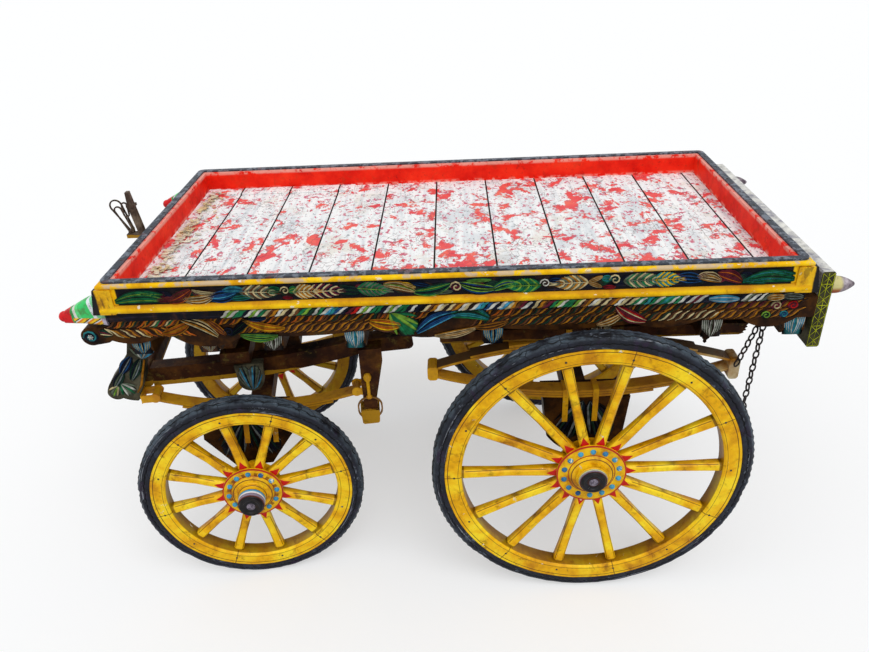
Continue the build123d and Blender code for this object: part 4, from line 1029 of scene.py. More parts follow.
def tray_board(side: int, y: float) -> Board:
    """The tray's left (1) or right (-1) face at a distance y from the middle; u is X from the tray's middle."""
    return Board(TRAY.point(0, side * y), Vector((1, 0, 0)), Vector((0, side, 0)))


def end_board(end: int, x: float) -> Board:
    """The tray's front (1) or rear (-1) face at a distance x from the middle; u is Y."""
    return Board(TRAY.point(end * x), Vector((0, 1, 0)), Vector((end, 0, 0)))


def carriage_board(side: int, v: float) -> Board:
    """A side face of the turned fore-carriage; u is the distance ahead of the king pin."""
    spin = STEERED.to_3x3()
    return Board(STEERED @ Vector((0, side * v, 0)), spin @ Vector((1, 0, 0)), spin @ Vector((0, side, 0)))


@dataclass(frozen=True)
class Stem:
    """Straight line on a face from a root to a tip."""
    root: Point
    tip: Point

    @property
    def long(self) -> float:
        """Its length."""
        return math.dist(self.root, self.tip)

    def at(self, share: float, aside: float = 0.0) -> Point:
        """Point at a share of the way along it and a distance to its left."""
        du, dv = self.tip[0] - self.root[0], self.tip[1] - self.root[1]
        return (self.root[0] + du * share - dv / self.long * aside,
                self.root[1] + dv * share + du / self.long * aside)


def circle_point(middle: Point, radius: float, angle: float) -> Point:
    """Point at an angle round a middle."""
    return middle[0] + radius * math.cos(angle), middle[1] + radius * math.sin(angle)


class Carving:
    """Carved ridges gathered into one mesh, each point with its paint and how near the crest it lies."""

    def __init__(self, name: str, glow: float) -> None:
        """Start an empty carving with a name and the strength of the painted highlight along its crests.

        Args:
            name: the mesh's name.
            glow: strength of the painted highlight along its crests, from 0 to 1.
        """
        self.name = name
        self.glow = glow
        self.draw = Random(5)
        self.points: list[Vector] = []
        self.faces: list[Face] = []
        self.paints: list[tuple[float, ...]] = []

    def ridge(self, board: Board, path: Sequence[Point], widths: Sequence[float], height: float, paint: Paint,
              glow: float = 1.0) -> None:
        """Carve one ridge that follows a path.

        Args:
            board: the face it stands on.
            path: (u, v) points of its crest.
            widths: width at each point.
            height: how high the crest stands.
            paint: its colour.
            glow: strength of the painted highlight along its crest, from 0 to 1.
        """
        start, last, widest, tone = len(self.points), len(path) - 1, max(widths), srgb(paint)
        for number, ((u, v), width) in enumerate(zip(path, widths)):
            before, after = path[max(number - 1, 0)], path[min(number + 1, last)]
            du, dv = after[0] - before[0], after[1] - before[1]
            half = width / 2 / (math.hypot(du, dv) or 1.0)
            rise = height * min(1.0, 0.35 + width / widest)
            # each point's crest value gives painted shade at the foot (0) and a painted highlight on the crest
            for side, out, crest in ((-1.0, -FOOT_SUNK, 0.0), (-0.6, rise * 0.7, 0.5), (0.0, rise, self.glow),
                                     (0.6, rise * 0.7, 0.5), (1.0, -FOOT_SUNK, 0.0)):
                self.points.append(board.at(u - dv * half * side, v + du * half * side, out))
                self.paints.append((*tone, crest * glow))
        self.faces += skin(last + 1, 5, start, loop=False)

    def leaf(self, board: Board, root: Point, tip: Point, spread: float, ribs: int, paints: Sequence[Paint],
             height: float = 0.004, bow: float = 0.25) -> None:
        """Carve a fan of ribs that spread from a root, on a low mound of the first colour.

        Args:
            board: the face it stands on.
            root: (u, v) of the root.
            tip: (u, v) of the tip.
            spread: width across its tips.
            ribs: number of ribs.
            paints: colours, taken in turn.
            height: how high it stands.
            bow: how much the ribs bow outwards.
        """
        stem = Stem(root, tip)
        self.ridge(board, [stem.at(t) for t in (0.0, 0.25, 0.5, 0.75, 0.93)],
                   [spread * s for s in (0.1, 0.5, 0.8, 0.9, 0.5)], height * 0.4, paints[0], MOUND_GLOW)
        for rib in range(ribs):
            side = 2 * rib / (ribs - 1) - 1
            reach = 1.0 - 0.38 * abs(side) ** 1.5
            path = [stem.at(reach * t, side * spread / 2 * t ** (0.55 + bow)) for t in (0, 0.2, 0.4, 0.6, 0.8, 1)]
            widths = [spread / ribs * 1.02 * s for s in (0.4, 0.8, 1.0, 1.0, 0.8, 0.28)]
            self.ridge(board, path, widths, height * (1.0 - 0.25 * abs(side)), paints[rib % len(paints)])

    def blade(self, board: Board, root: Point, tip: Point, wide: float, ribs: int, paints: Sequence[Paint],
              bend: float = 0.0, height: float = 0.0045) -> None:
        """Carve a pointed leaf whose ribs run along it, on a low mound of the first colour.

        Args:
            board: the face it stands on.
            root: (u, v) of the root.
            tip: (u, v) of the tip.
            wide: width across its middle.
            ribs: number of ribs.
            paints: colours, taken in turn.
            bend: how far its middle swings to the left.
            height: how high it stands.
        """
        stem, stations = Stem(root, tip), [step / 8 for step in range(9)]
        swell = [math.sin(math.pi * (0.07 + 0.86 * t)) ** 0.8 for t in stations]

        def trail(side: float) -> list[Point]:
            """Points of a line at a side from -1 to 1."""
            return [stem.at(t, bend * math.sin(math.pi * t) + side * wide / 2 * s) for t, s in zip(stations, swell)]

        self.ridge(board, trail(0.0), [wide * s * 1.06 for s in swell], height * 0.4, paints[0], MOUND_GLOW)
        for rib in range(ribs):
            self.ridge(board, trail(((2 * rib + 1) / ribs - 1) * 0.97), [wide / ribs * s * 0.86 for s in swell],
                       height, paints[rib % len(paints)])

    def plume(self, board: Board, root: Point, tip: Point, wide: float, paints: Sequence[Paint], pitch: float,
              height: float = 0.004) -> None:
        """Carve a pointed leaf with a midrib and swept side veins.

        Args:
            board: the face it stands on.
            root: (u, v) of the root.
            tip: (u, v) of the tip.
            wide: width across its middle.
            paints: colours, taken in turn.
            pitch: distance between veins.
            height: how high it stands.
        """
        stem, long = Stem(root, tip), math.dist(root, tip)

        def room(share: float) -> float:
            """The leaf's width at a share of its length."""
            return math.sin(math.pi * (0.10 + 0.84 * share)) ** 0.7 * wide

        spine = [step / 6 for step in range(7)]
        self.ridge(board, [stem.at(t) for t in spine], [room(t) for t in spine], height * 0.4, paints[0], MOUND_GLOW)
        self.ridge(board, [stem.at(t) for t in spine], [pitch * s for s in (0.3, 0.5, 0.5, 0.5, 0.4, 0.3, 0.2)],
                   height * 1.05, paints[1])
        count, veins = max(2, int(long / pitch)), paints[2:]
        for number in range(count):
            for side in BOTH[::-1]:
                path = []
                for q in (0.0, 0.35, 0.7, 1.0):
                    share = (number + 0.3) / count + q ** 1.3 * wide * 0.5 / long
                    half = room(min(share, 0.87 / 0.84)) / 2
                    path.append(stem.at(share, side * (0.06 + 0.92 * q ** 0.85) * half))
                self.ridge(board, path, [pitch * s for s in (0.7, 1.15, 1.05, 0.4)], height,
                           veins[number % len(veins)])

    def scales(self, board: Board, start: float, end: float, low: float, high: float, pitch: float,
               paints: Sequence[Paint], height: float = 0.003, lean: float = 1.3) -> None:
        """Carve one row of slanted beads, like the lay of a rope.

        Args:
            board: the face it stands on.
            start: u where it starts.
            end: u where it ends.
            low: lower limit.
            high: upper limit.
            pitch: distance between beads.
            paints: colours, taken in turn.
            height: how high it stands.
            lean: how far a bead leans, as a share of its height.
        """
        count = max(1, int(abs(end - start) / pitch))
        tall, way, draw = high - low, 1.0 if end > start else -1.0, self.draw.uniform
        for number in range(count):
            u = start + (end - start) * (number + 0.5 + draw(-0.2, 0.2)) / count
            slope, foot, head = lean * draw(0.75, 1.2), draw(0.0, 0.12), draw(0.86, 1.0)
            path = [(u + way * tall * ((t - 0.5) * slope + 0.16 * math.sin(t * math.tau)),
                     low + tall * (foot + (head - foot) * t)) for t in (0.0, 0.25, 0.5, 0.75, 1.0)]
            self.ridge(board, path, [pitch * s for s in (0.4, 0.95, 1.05, 0.9, 0.35)], height * draw(0.75, 1.1),
                       paints[number % len(paints)])

    def undergrowth(self, board: Board, reach: float, low: float, high: float) -> None:
        """Carve low dark leaves that close the gaps between the larger ones.

        Args:
            board: the face it stands on.
            reach: how far it goes on both sides.
            low: lower limit.
            high: upper limit.
        """
        count, tall = int(2 * reach / 0.021), high - low
        for number in range(count):
            u = -reach + 2 * reach * (number + 0.5) / count
            way, rise = BOTH[number % 2], self.draw.uniform(0.15, 0.32)
            root, tip = (u - 0.017, low + tall * (0.5 - way * rise)), (u + 0.017, low + tall * (0.5 + way * 0.25))
            self.blade(board, root, tip, tall * 0.46, 3, [self.draw.choice(UNDER)], way * 0.003, 0.0026)

    def curl(self, board: Board, middle: Point, radius: float, paint: Paint, back: Paint) -> None:
        """Carve a spiral tendril on a round mound of another colour.

        Args:
            board: the face it stands on.
            middle: (u, v) of its middle.
            radius: its radius.
            paint: its colour.
            back: the mound's colour.
        """
        self.ridge(board, [(middle[0] + radius * t, middle[1]) for t in (-0.95, -0.6, 0.0, 0.6, 0.95)],
                   [radius * s for s in (0.7, 1.6, 2.0, 1.6, 0.7)], 0.0025, back, MOUND_GLOW)
        steps, turns = 12, 1.35
        path = [circle_point(middle, radius * (0.95 - 0.8 * step / steps), step / steps * math.tau * turns)
                for step in range(steps + 1)]
        self.ridge(board, path, [radius * 0.3] * steps + [radius * 0.16], 0.005, paint)

    def rosette(self, board: Board, middle: Point, radius: float, petals: int, paint: Paint) -> None:
        """Carve a flower of petals round a raised heart.

        Args:
            board: the face it stands on.
            middle: (u, v) of its middle.
            radius: its radius.
            petals: number of petals.
            paint: its colour.
        """
        wide, dot = math.tau * radius / petals * 0.62, radius * 0.34
        for petal in range(petals):
            path = [circle_point(middle, radius * t, math.tau * petal / petals) for t in (0.3, 0.55, 0.8, 1.0)]
            self.ridge(board, path, [wide * s for s in (0.5, 1.0, 1.0, 0.35)], 0.0035, paint)
        path = [(middle[0] + dot * t, middle[1]) for t in (-1.0, -0.6, 0.0, 0.6, 1.0)]
        self.ridge(board, path, [dot * s for s in (0.5, 1.6, 2.0, 1.6, 0.5)], 0.005, paint)

    def lines(self, board: Board, paths: Sequence[Sequence[Point]], width: float, height: float, paint: Paint,
              glow: float) -> None:
        """Carve straight ridges of one width."""
        for path in paths:
            self.ridge(board, path, [width] * len(path), height, paint, glow)

    def follow(self, table: "Sequence[Run]", board: Board, low: float, high: float, pitch: float = 0.0085) -> None:
        """Carve a table of runs between two heights, with repeated leaves a pitch apart."""
        for run in table:
            run.carve(self, board, low, high, pitch)

    def piece(self, finish: Material) -> Thing:
        """Turn the carving into an object in place, with its finish.

        Args:
            finish: its material.
        Returns:
            The piece.
        """
        mesh = meshed(self.name, self.points, self.faces)
        paint = mesh.color_attributes.new("paint", "FLOAT_COLOR", "POINT")
        for number, value in enumerate(self.paints):
            paint.data[number].color = value
        smooth_faces(mesh)
        return placed(self.name, mesh, finish)


class Motif(Enum):
    """Kinds of carving along a run."""
    WAVE = "wave"
    BLADE = "blade"
    PLUME = "plume"
    LEAF = "leaf"
    SCALES = "scales"
    CURL = "curl"


@dataclass(frozen=True)
class Run:
    """One stretch of carving, from start to end in millimetres along its face.

    A blade or plume runs from its first height to its second, both as shares of the face's height.
    """
    motif: Motif
    start: float
    end: float
    paints: tuple[Paint, ...]
    first: float = 0.5
    second: float = 0.5
    wide: float = 0.9
    bend: float = 0.0

    def carve(self, work: Carving, board: Board, low: float, high: float, pitch: float) -> None:
        """Carve the stretch.

        Args:
            work: the carving that it joins.
            board: the face it stands on.
            low: lower limit.
            high: upper limit.
            pitch: distance between repeated leaves.
        """
        a, b, tall, paints = self.start * MM, self.end * MM, high - low, self.paints
        root, tip, wide = (a, low + tall * self.first), (b, low + tall * self.second), tall * self.wide
        if self.motif is Motif.WAVE:
            way = 0.26 if b > a else -0.26
            work.blade(board, (a, low + tall * 0.22), (b, low + tall * 0.26), tall * 0.92, 11, paints, way * tall)
            work.blade(board, (a + (b - a) * 0.48, low + tall * 0.84), (b, low + tall * 0.6), tall * 0.4, 6, paints)
        elif self.motif is Motif.BLADE:
            work.blade(board, root, tip, wide, 8, paints, tall * self.bend)
        elif self.motif is Motif.PLUME:
            work.plume(board, root, tip, wide, paints, pitch)
        elif self.motif is Motif.LEAF:
            work.leaf(board, root, tip, wide, 6, paints)
        elif self.motif is Motif.SCALES:
            work.scales(board, a, b, low, high, pitch, paints)
        else:
            work.curl(board, ((a + b) / 2, root[1]), abs(b - a) / 2, paints[-1], paints[0])


def paints(names: str) -> tuple[Paint, ...]:
    """Paints from their names."""
    return tuple(Paint[name.upper()] for name in names.split())


def runs(table: str) -> tuple[Run, ...]:
    """Runs from rows that give motif, start, end and paints, and after a slash first, second, wide and bend.

    Args:
        table: rows of motif, start, end and paints, and after a slash first, second, wide and bend.
    Returns:
        The runs.
    """
    made = []
    for row in table.strip().splitlines():
        head, _, tail = row.partition("/")
        motif, start, end, names = head.split(maxsplit=3)
        made.append(Run(Motif(motif), float(start), float(end), paints(names), *map(float, tail.split())))
    return tuple(made)


SIDE_FIELD = runs("""
    wave 866 738 deep_green green green leaf green
    blade 760 700 maroon brown maroon / 0.25 0.3 0.4
    blade 728 664 maroon brown maroon orange / 0.1 0.82 0.75 0.1
    blade 688 606 ochre cream brown cream / 0.25 0.42 0.72 0.2
    blade 660 600 dark_brown cream cream / 0.85 0.62 0.32 0.1
    blade 622 548 blue navy blue blue sky / 0.3 0.56 0.85 0.1
    blade 582 524 teal sky teal blue / 0.72 0.7 0.5 -0.08
    blade 566 506 deep_green teal green / 0.22 0.3 0.42
    plume 540 446 deep_green cream sage brown cream / 0.62 0.5 0.94
    blade 470 432 green deep_green green / 0.62 0.66 0.55
    curl 434 408 dark_brown cream / 0.6 0
    blade 412 388 green green leaf / 0.55 0.72 0.5
    blade 430 404 maroon maroon red / 0.16 0.12 0.28
    plume 402 338 brown cream cream ochre / 0.5 0.5 0.96
    plume 366 276 maroon cream cream maroon navy / 0.5 0.48 0.98
    blade 286 226 deep_green navy deep_green / 0.5 0.36 0.72
    plume 236 158 deep_green leaf green sage / 0.6 0.4 0.94
    blade 168 88 ochre cream brown leaf cream / 0.78 0.28 0.66 -0.12
    blade 122 86 bright_yellow brown cream / 0.85 0.52 0.32
    blade 96 50 navy navy blue / 0.82 0.6 0.42
    blade 92 -2 deep_green green leaf green navy / 0.24 0.66 0.78 0.16
    blade 40 -8 sage deep_green sage / 0.12 0.2 0.3
    curl 0 -34 maroon cream / 0.48 0
    blade -118 -24 navy blue leaf deep_green leaf / 0.26 0.68 0.78 -0.18
    blade -106 -44 leaf green leaf / 0.86 0.84 0.26
    blade -108 -170 deep_green green leaf blue leaf / 0.24 0.66 0.7 -0.12
    plume -232 -150 deep_green leaf green leaf green / 0.42 0.4 0.92
    curl -228 -256 dark_brown white / 0.52 0
    blade -252 -282 navy blue navy / 0.7 0.72 0.4
    plume -352 -268 brown cream cream ochre sage / 0.5 0.46 0.98
    blade -350 -386 ochre cream ochre / 0.5 0.84 0.3
    blade -350 -386 ochre cream ochre / 0.5 0.16 0.3
    curl -402 -434 deep_green cream / 0.6 0
    blade -384 -410 teal green teal / 0.7 0.66 0.5
    blade -388 -420 maroon red maroon / 0.16 0.14 0.3
    plume -438 -534 deep_green sage sage green cream / 0.5 0.5 0.96
    plume -510 -580 teal bright_yellow teal bright_yellow / 0.5 0.5 0.98
    blade -636 -570 navy blue navy blue / 0.42 0.62 0.86
    blade -684 -626 ochre cream brown cream / 0.3 0.6 0.66 0.14
    blade -650 -622 maroon cream maroon / 0.86 0.6 0.3
    blade -672 -736 maroon maroon orange maroon / 0.8 0.22 0.78 -0.1
    wave -738 -866 deep_green green teal green green
    blade -738 -800 deep_green green teal / 0.3 0.12 0.4
""")
END_FIELD = runs("""
    wave -412 -296 deep_green green leaf green
    blade -300 -236 maroon brown orange / 0.2 0.7 0.7 0.1
    plume -232 -150 ochre cream cream brown / 0.5 0.5 0.96
    plume -60 -140 deep_green leaf green sage / 0.5 0.5 0.96
    curl -56 -22 maroon cream / 0.5 0
    plume -18 62 deep_green leaf green sage / 0.5 0.5 0.96
    plume 152 70 maroon cream cream navy / 0.5 0.5 0.96
    blade 232 150 blue navy sky blue / 0.3 0.6 0.8 -0.1
    blade 300 236 maroon brown orange / 0.2 0.7 0.7 -0.1
    wave 412 296 deep_green green teal green
""")
STRIP = runs("""
    scales 594 486 white leaf white green green navy
    scales 486 392 cream brown ochre white cream dark_brown
    scales 392 330 green leaf deep_green white
    scales 330 266 white sky teal blue white navy
    scales 266 236 maroon red cream
    scales 236 90 white leaf white green green navy
    scales 90 66 navy black
    scales 66 -60 cream brown ochre white cream dark_brown
    scales -60 -150 white sky teal blue white navy
    scales -150 -262 cream ochre brown maroon white navy
    scales -262 -330 green leaf white green
    scales -330 -474 cream brown ochre white cream dark_brown
    scales -474 -590 green white green teal
    scales -590 -660 white navy white maroon
    blade -660 -738 sky sky white sky / 0.5 0.4 1
    scales -738 -812 navy white sage white
    blade -806 -852 ochre cream ochre / 0.4 0.5
    blade -898 -846 sage grey dark_brown / 0.4 0.6
""")
SILL_UPPER = runs("""
    scales 902 800 brown dark_brown orange ochre deep_green
    scales 800 740 orange brown cream green maroon
    scales 740 330 orange brown ochre dark_brown dark_brown
    scales 330 180 brown dark_brown ochre dark_brown deep_green
    scales 180 -160 orange brown ochre dark_brown dark_brown
    scales -160 -700 brown dark_brown ochre dark_brown deep_green
    scales -700 -906 brown ochre dark_brown maroon
""")
SILL_LOWER = runs("""
    scales 812 902 ochre brown cream dark_brown brown
    scales 700 812 orange brown ochre dark_brown dark_brown
    scales 552 160 ochre dark_brown brown
    scales -60 -560 brown dark_brown ochre dark_brown deep_green
    scales -560 -690 cream dark_brown brown
    scales -690 -906 ochre dark_brown brown
""")
SILL_SHAPES = runs("""
    blade 770 690 ochre orange brown ochre / 0.2 0.75 0.5 0.1
    blade 712 622 ochre cream black cream black / 0.92 0 0.66 -0.16
    blade 645 600 ochre maroon brown / 0.9 0.05 0.36
    curl 606 576 black navy / 0.2 0
    blade 590 520 black navy black deep_green / 0 0.95 0.4
    blade 562 462 deep_green leaf green leaf / 0.02 -0.08 0.5 0.12
    blade 548 440 ochre orange bright_yellow ochre / 0.78 0.3 0.46 0.16
    blade 532 486 navy blue navy / 0.8 0.84 0.24
    blade 214 132 ochre orange bright_yellow brown / 0.5 0.25 0.7 0.1
    leaf 158 92 green leaf leaf green / 0.95 -0.18 1.3
    blade 92 -20 navy blue blue sky / -0.12 0.88 0.7 -0.2
    blade 6 -100 deep_green teal teal green / 0.72 0.5 0.86 -0.3
    blade 44 -66 ochre cream brown cream / -0.34 0.02 0.4 0.1
    blade -60 -150 brown ochre dark_brown / 0.05 0.3 0.4 0.1
    blade -382 -446 brown cream ochre / -0.02 0.5 0.4 0.1
    blade -430 -510 maroon red cream maroon / 0.86 0.08 0.66 0.12
    curl -806 -832 deep_green leaf / 0.2 0
    curl -826 -856 maroon cream / 0.66 0
    curl -852 -876 blue teal / 0.22 0
    curl -868 -898 maroon red / 0.66 0
""")
UNDER = paints("deep_green navy dark_brown deep_green maroon")
LEAF_ENDS = tuple(map(paints, ("navy sky cream", "brown cream white", "dark_brown white sage", "teal white sky")))


# ------------------------------------------------------------------ looks of the sub-assemblies
def dress(finish: Material, *nodes: str) -> None:
    """Give solids their material.

    Args:
        finish: the material.
        nodes: the solids.
    """
    for thing in (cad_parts[node] for node in nodes):
        if not thing.material_slots:
            thing.data.materials.append(finish)
        for slot in thing.material_slots:
            slot.link = "OBJECT"
            slot.material = finish


def hand_over(thing: Thing, body: str, slot: str, *nodes: str) -> None:
    """Hang a piece on the empty of the body it rides on, hide the solids it stands for and log its faces.

    Args:
        thing: the piece.
        body: what it rides on.
        slot: not used.
        nodes: the solids it stands for.
    """
    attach(thing, body)
    if nodes:
        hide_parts(*nodes)
    LOG.info("%s rides on %s: %d faces", thing.name, body, len(thing.data.polygons))


@dataclass
class TrayLooks:
    """Paint, carving and ironwork of the tray."""
    carved: Material
    boards: Material
    repeat: Repeater
    bearer_places: tuple[float, ...] = (845.1, 659.7, 485.1, 261.0, -111.6, -399.6, -690.3, -906.0)
    strands: tuple[tuple[tuple[float, float, float], ...], ...] = (
        ((-843.0, 399.0, 926.0), (-832.0, 396.0, 640.0), (-831.0, 394.0, 468.0)),
        ((-853.0, 380.0, 924.0), (-797.0, 374.0, 731.0)))
    nail_pitch: float = 0.118
    first_nail: float = 0.06
    link_turns: tuple[float, float] = (-68.0, 22.0)
    tail_side: float = 0.439
    tail_back: float = 0.979
    seed: int = 11

    def paint_solids(self) -> None:
        """Give the tray's solids their paint."""
        dress(self.boards, "deck_planks")
        dress(WallCoat("side_wall_coat", TRAY.half_width - TRAY.wall, False).build(), "side_walls")
        dress(WallCoat("end_wall_coat", TRAY.half_length - TRAY.wall, True).build(), "end_walls")
        dress(Iron("rim_iron", "2c3440", "6c7480", "7a2a24", 0.5).build(), "rim_strap")
        dress(CornerCoat().build(), "corner_blocks")

    def carve_walls(self) -> Thing:
        """Carve the fields and the leaf strip of the walls."""
        work, low, high = Carving("wall_carving", 0.57), TRAY.field_bottom + 0.002, TRAY.field_top - 0.002
        for side in BOTH:
            face = tray_board(side, TRAY.half_width)
            work.undergrowth(face, 0.845, low, high)
            work.follow(SIDE_FIELD, face, low, high, 0.0064)
            work.follow(STRIP, face, TRAY.wall_bottom + 0.001, TRAY.strip_top, 0.0105)
        for end in BOTH:
            face = end_board(end, TRAY.half_length)
            work.undergrowth(face, 0.40, low, high)
            work.follow(END_FIELD, face, low, high)
        return work.piece(self.carved)

    def carve_tail(self) -> Thing:
        """Carve the lattice on the tail board's ends and the panels on its back."""
        work = Carving("tail_carving", 0.7)
        low, high, step = 0.832, 1.047, 0.0307
        near, far = -0.9475, -0.9765
        middle = (near + far) / 2
        for side in BOTH:
            face = tray_board(side, self.tail_side)
            work.lines(face, [((u, low), (u, (low + high) / 2), (u, high)) for u in (near, middle, far)],
                       0.0018, 0.0012, P.LIME, 0.8)
            for number, z in enumerate(low + number * step for number in range(7)):
                for first, last in ((near, far), (far, near)):
                    work.ridge(face, ((first, z), (middle, z + step * 0.56), (last, z + step)),
                               (0.0014, 0.0016, 0.0014), 0.001, P.LIME, 0.8)
                if number % 2 == 0:
                    work.lines(face, [((near, z), (far, z))], 0.002, 0.0012, P.LIME, 0.8)
        back = end_board(-1, self.tail_back)
        for foot in (0.852, 0.918):
            work.follow(END_FIELD, back, foot, foot + 0.050)
        work.lines(back, [((-0.43, z), (0.0, z), (0.43, z)) for z in (0.842, 0.910, 0.976, 1.040)],
                   0.006, 0.002, P.YELLOW, 0.7)
        return work.piece(self.carved)

    def carve_sills(self) -> Thing:
        """Carve the sills and the bearers' ends."""
        work, foot, top = Carving("sill_carving", 0.53), TRAY.sill_bottom, TRAY.wall_bottom
        split, nose = foot + 0.031, (0.967, foot + 0.008)
        for side in BOTH:
            face, raised = tray_board(side, TRAY.sill_face), tray_board(side, TRAY.sill_face + 0.0022)
            work.follow(SILL_UPPER, face, split, top - 0.001, 0.0066)
            work.follow(SILL_LOWER, face, foot + 0.001, split, 0.0066)
            work.follow(SILL_SHAPES, raised, foot, top)
            work.curl(face, nose, 0.021, P.TEAL, P.NAVY)
            work.rosette(raised, nose, 0.008, 6, P.WHITE)
            work.leaf(face, (0.905, foot + 0.012), (0.942, foot + 0.024), 0.028, 5, (P.DEEP_GREEN, P.CREAM, P.MAROON))
            self.carve_bearers(work, tray_board(side, TRAY.sill_face - TRAY.bearer_setback), foot)
        return work.piece(self.carved)

    def carve_bearers(self, work: Carving, end: Board, foot: float) -> None:
        """Carve a pair of fans on each bearer's end, on a face whose top is the sill's foot.

        Args:
            work: the carving that it joins.
            end: the face of the bearers' ends.
            foot: the sill's foot.
        """
        low, high = foot - TRAY.bearer_depth + 0.001, foot - 0.001
        for number, u in enumerate(place * MM for place in self.bearer_places):
            tones = LEAF_ENDS[number % len(LEAF_ENDS)]
            work.ridge(end, ((u, low), (u, (low + high) / 2), (u, high)), (0.052, 0.055, 0.056), 0.0016, tones[0],
                       0.6)
            work.blade(end, (u, low + 0.003), (u, high - 0.002), 0.021, 5, tones, 0.0, 0.003)
            for lean in BOTH[::-1]:
                for rib in range(7):
                    base = low + 0.0036 * rib
                    path = [(u + lean * (0.0015 + 0.0036 * rib + (0.0085 - 0.001 * rib) * math.sin(q * 2.1)),
                             base + (high - base) * q) for q in (0.0, 0.3, 0.6, 0.85, 1.0)]
                    work.ridge(end, path, (0.0014, 0.0026, 0.0031, 0.0028, 0.0018), 0.003, tones[1 + rib % 2])

    def nails(self, finish: Material) -> Thing:
        """Nail heads along the rim strap.

        Args:
            finish: its material.
        Returns:
            The piece.
        """
        half_x, half_y, top = TRAY.half_length - 0.012, TRAY.half_width - 0.012, TRAY.rim_top + 0.005
        along, across = ([self.first_nail - half + number * self.nail_pitch
                          for number in range(int(2 * half / self.nail_pitch))] for half in (half_x, half_y))
        spots = [(x, side * half_y) for x in along for side in BOTH]
        spots += [(side * half_x, y) for y in across for side in BOTH]
        base = marks("nail_marks", [Matrix.Translation(TRAY.point(x, y, top)) for x, y in spots])
        return self.repeat.make("rim_nails", dome(0.0042, 0.0012, 8), finish, base)

    def litter(self, finish: Material) -> list[Thing]:
        """Dry leaves and straw blown against the front wall.

        Args:
            finish: its material.
        Returns:
            The pieces.
        """
        draw, made = Random(self.seed), []
        leaf = [(x, y * w, 0.0022 - 0.0022 * abs(y) + 2.25 * x * x)
                for x, w in ((-0.02, 0.1), (-0.008, 1.0), (0.008, 0.9), (0.02, 0.1)) for y in (-0.009, 0.0, 0.009)]
        stalk = [(x, y, 0.001 + 0.004 * (x > 0.01)) for x in (-0.03, -0.01, 0.012, 0.03) for y in (-0.0007, 0.0007)]
        for name, points, count in (("dry_leaves", leaf, 150), ("straw", stalk, 70)):
            mesh = meshed(name + "_shape", points, skin(4, len(points) // 4, loop=False, closed=False))
            with edited(mesh) as work:
                bmesh.ops.solidify(work, geom=work.faces[:], thickness=0.0006)
            places = []
            for _ in range(count):
                x = TRAY.half_length - TRAY.wall - 0.026 - abs(draw.gauss(0, 0.024))
                spin = Matrix.Rotation(draw.uniform(0, math.tau), 4, "Z")
                tilt = spin @ Matrix.Rotation(draw.uniform(-0.35, 0.35), 4, "X")
                spot = TRAY.point(x, draw.uniform(-0.395, 0.395), TRAY.floor_top + draw.uniform(0.002, 0.007))
                places.append(Matrix.Translation(spot) @ tilt @ Matrix.Scale(draw.uniform(0.35, 0.8), 4))
            made.append(self.repeat.make(name, mesh, finish, marks(name + "_marks", places)))
        return made

    def batten(self) -> Thing:
        """Loose worn board that lies along the right wall."""
        draw, count, floor = Random(self.seed), 28, TRAY.floor_top
        points = []
        for number in range(count + 1):
            near = -0.366 + draw.uniform(-0.0015, 0.0015)
            for y, h in ((-0.425, 0.0005), (-0.425, 0.0045), (-0.40, 0.005), (near, 0.004), (near + 0.001, 0.0012)):
                points.append(TRAY.point(0.866 - 0.53 * number / count, y, floor + h))
        mesh = meshed("loose_batten", points, skin(count + 1, 5, loop=False))
        with edited(mesh):
            pass
        return placed(mesh.name, mesh, self.boards)

    def finials(self, finish: Material) -> Thing:
        """Blunt turned finials on the tail board.

        Args:
            finish: its material.
        Returns:
            The piece.
        """
        profile = [(0.0, 0.0003), (0.0212, 0.0003), (0.0236, 0.004), (0.0228, 0.009), (0.0234, 0.016),
                   (0.0230, 0.028), (0.0208, 0.040), (0.0172, 0.051), (0.0128, 0.060), (0.0088, 0.067),
                   (0.0052, 0.0725),
                   (0.0022, 0.0745), (0.0, 0.0748)]
        mesh = bpy.data.meshes.new("blunt_finials")
        with edited(mesh) as work:
            for side in BOTH:
                root = Matrix.Translation(FINIAL_ROOT + Vector((0, side * FINIAL_ASIDE, 0)))
                work.from_mesh(lathe("finial", profile, 28, root @ Matrix.Rotation(QUARTER, 4, "Z")))
        return placed(mesh.name, mesh, finish)

    def chain(self, finish: Material) -> Thing:
        """Two strands of oval links that hang from one place under the left sill.

        Args:
            finish: its material.
        Returns:
            The piece.
        """
        wire, half_long, half_wide, pitch, steps, sides = 0.0025, 0.0126, 0.0078, 0.0216, 14, 6
        around = [Vector((half_wide * math.cos(a) * (0.82 + 0.18 * abs(math.cos(a))), 0.0, half_long * math.sin(a)))
                  for a in (math.tau * step / steps for step in range(steps))]
        points = []
        for number, middle in enumerate(around):
            ahead = (around[(number + 1) % steps] - around[number - 1]).normalized()
            side = ahead.cross(Vector((0, 1, 0)))
            points += [middle + side * (wire * math.cos(a)) + Vector((0, wire * math.sin(a), 0))
                       for a in (math.tau * corner / sides for corner in range(sides))]
        link = meshed("chain_link", points, skin(steps, sides))
        smooth_faces(link)
        places = []
        for route in self.strands:
            ends = [TRAY.point(x * MM, y * MM, z * MM) for x, y, z in route]
            number = 0
            for start, end in zip(ends, ends[1:]):
                ahead = end - start
                count = round(ahead.length / pitch)
                lie = ahead.to_track_quat("-Z", "Y").to_matrix().to_4x4()
                for step in range(count):
                    turn = Matrix.Rotation(math.radians(self.link_turns[number % 2]), 4, "Z")
                    places.append(Matrix.Translation(start + ahead * (step + 0.5) / count) @ lie @ turn)
                    number += 1
        return self.repeat.make("hanging_chain", link, finish, marks("chain_marks", places))


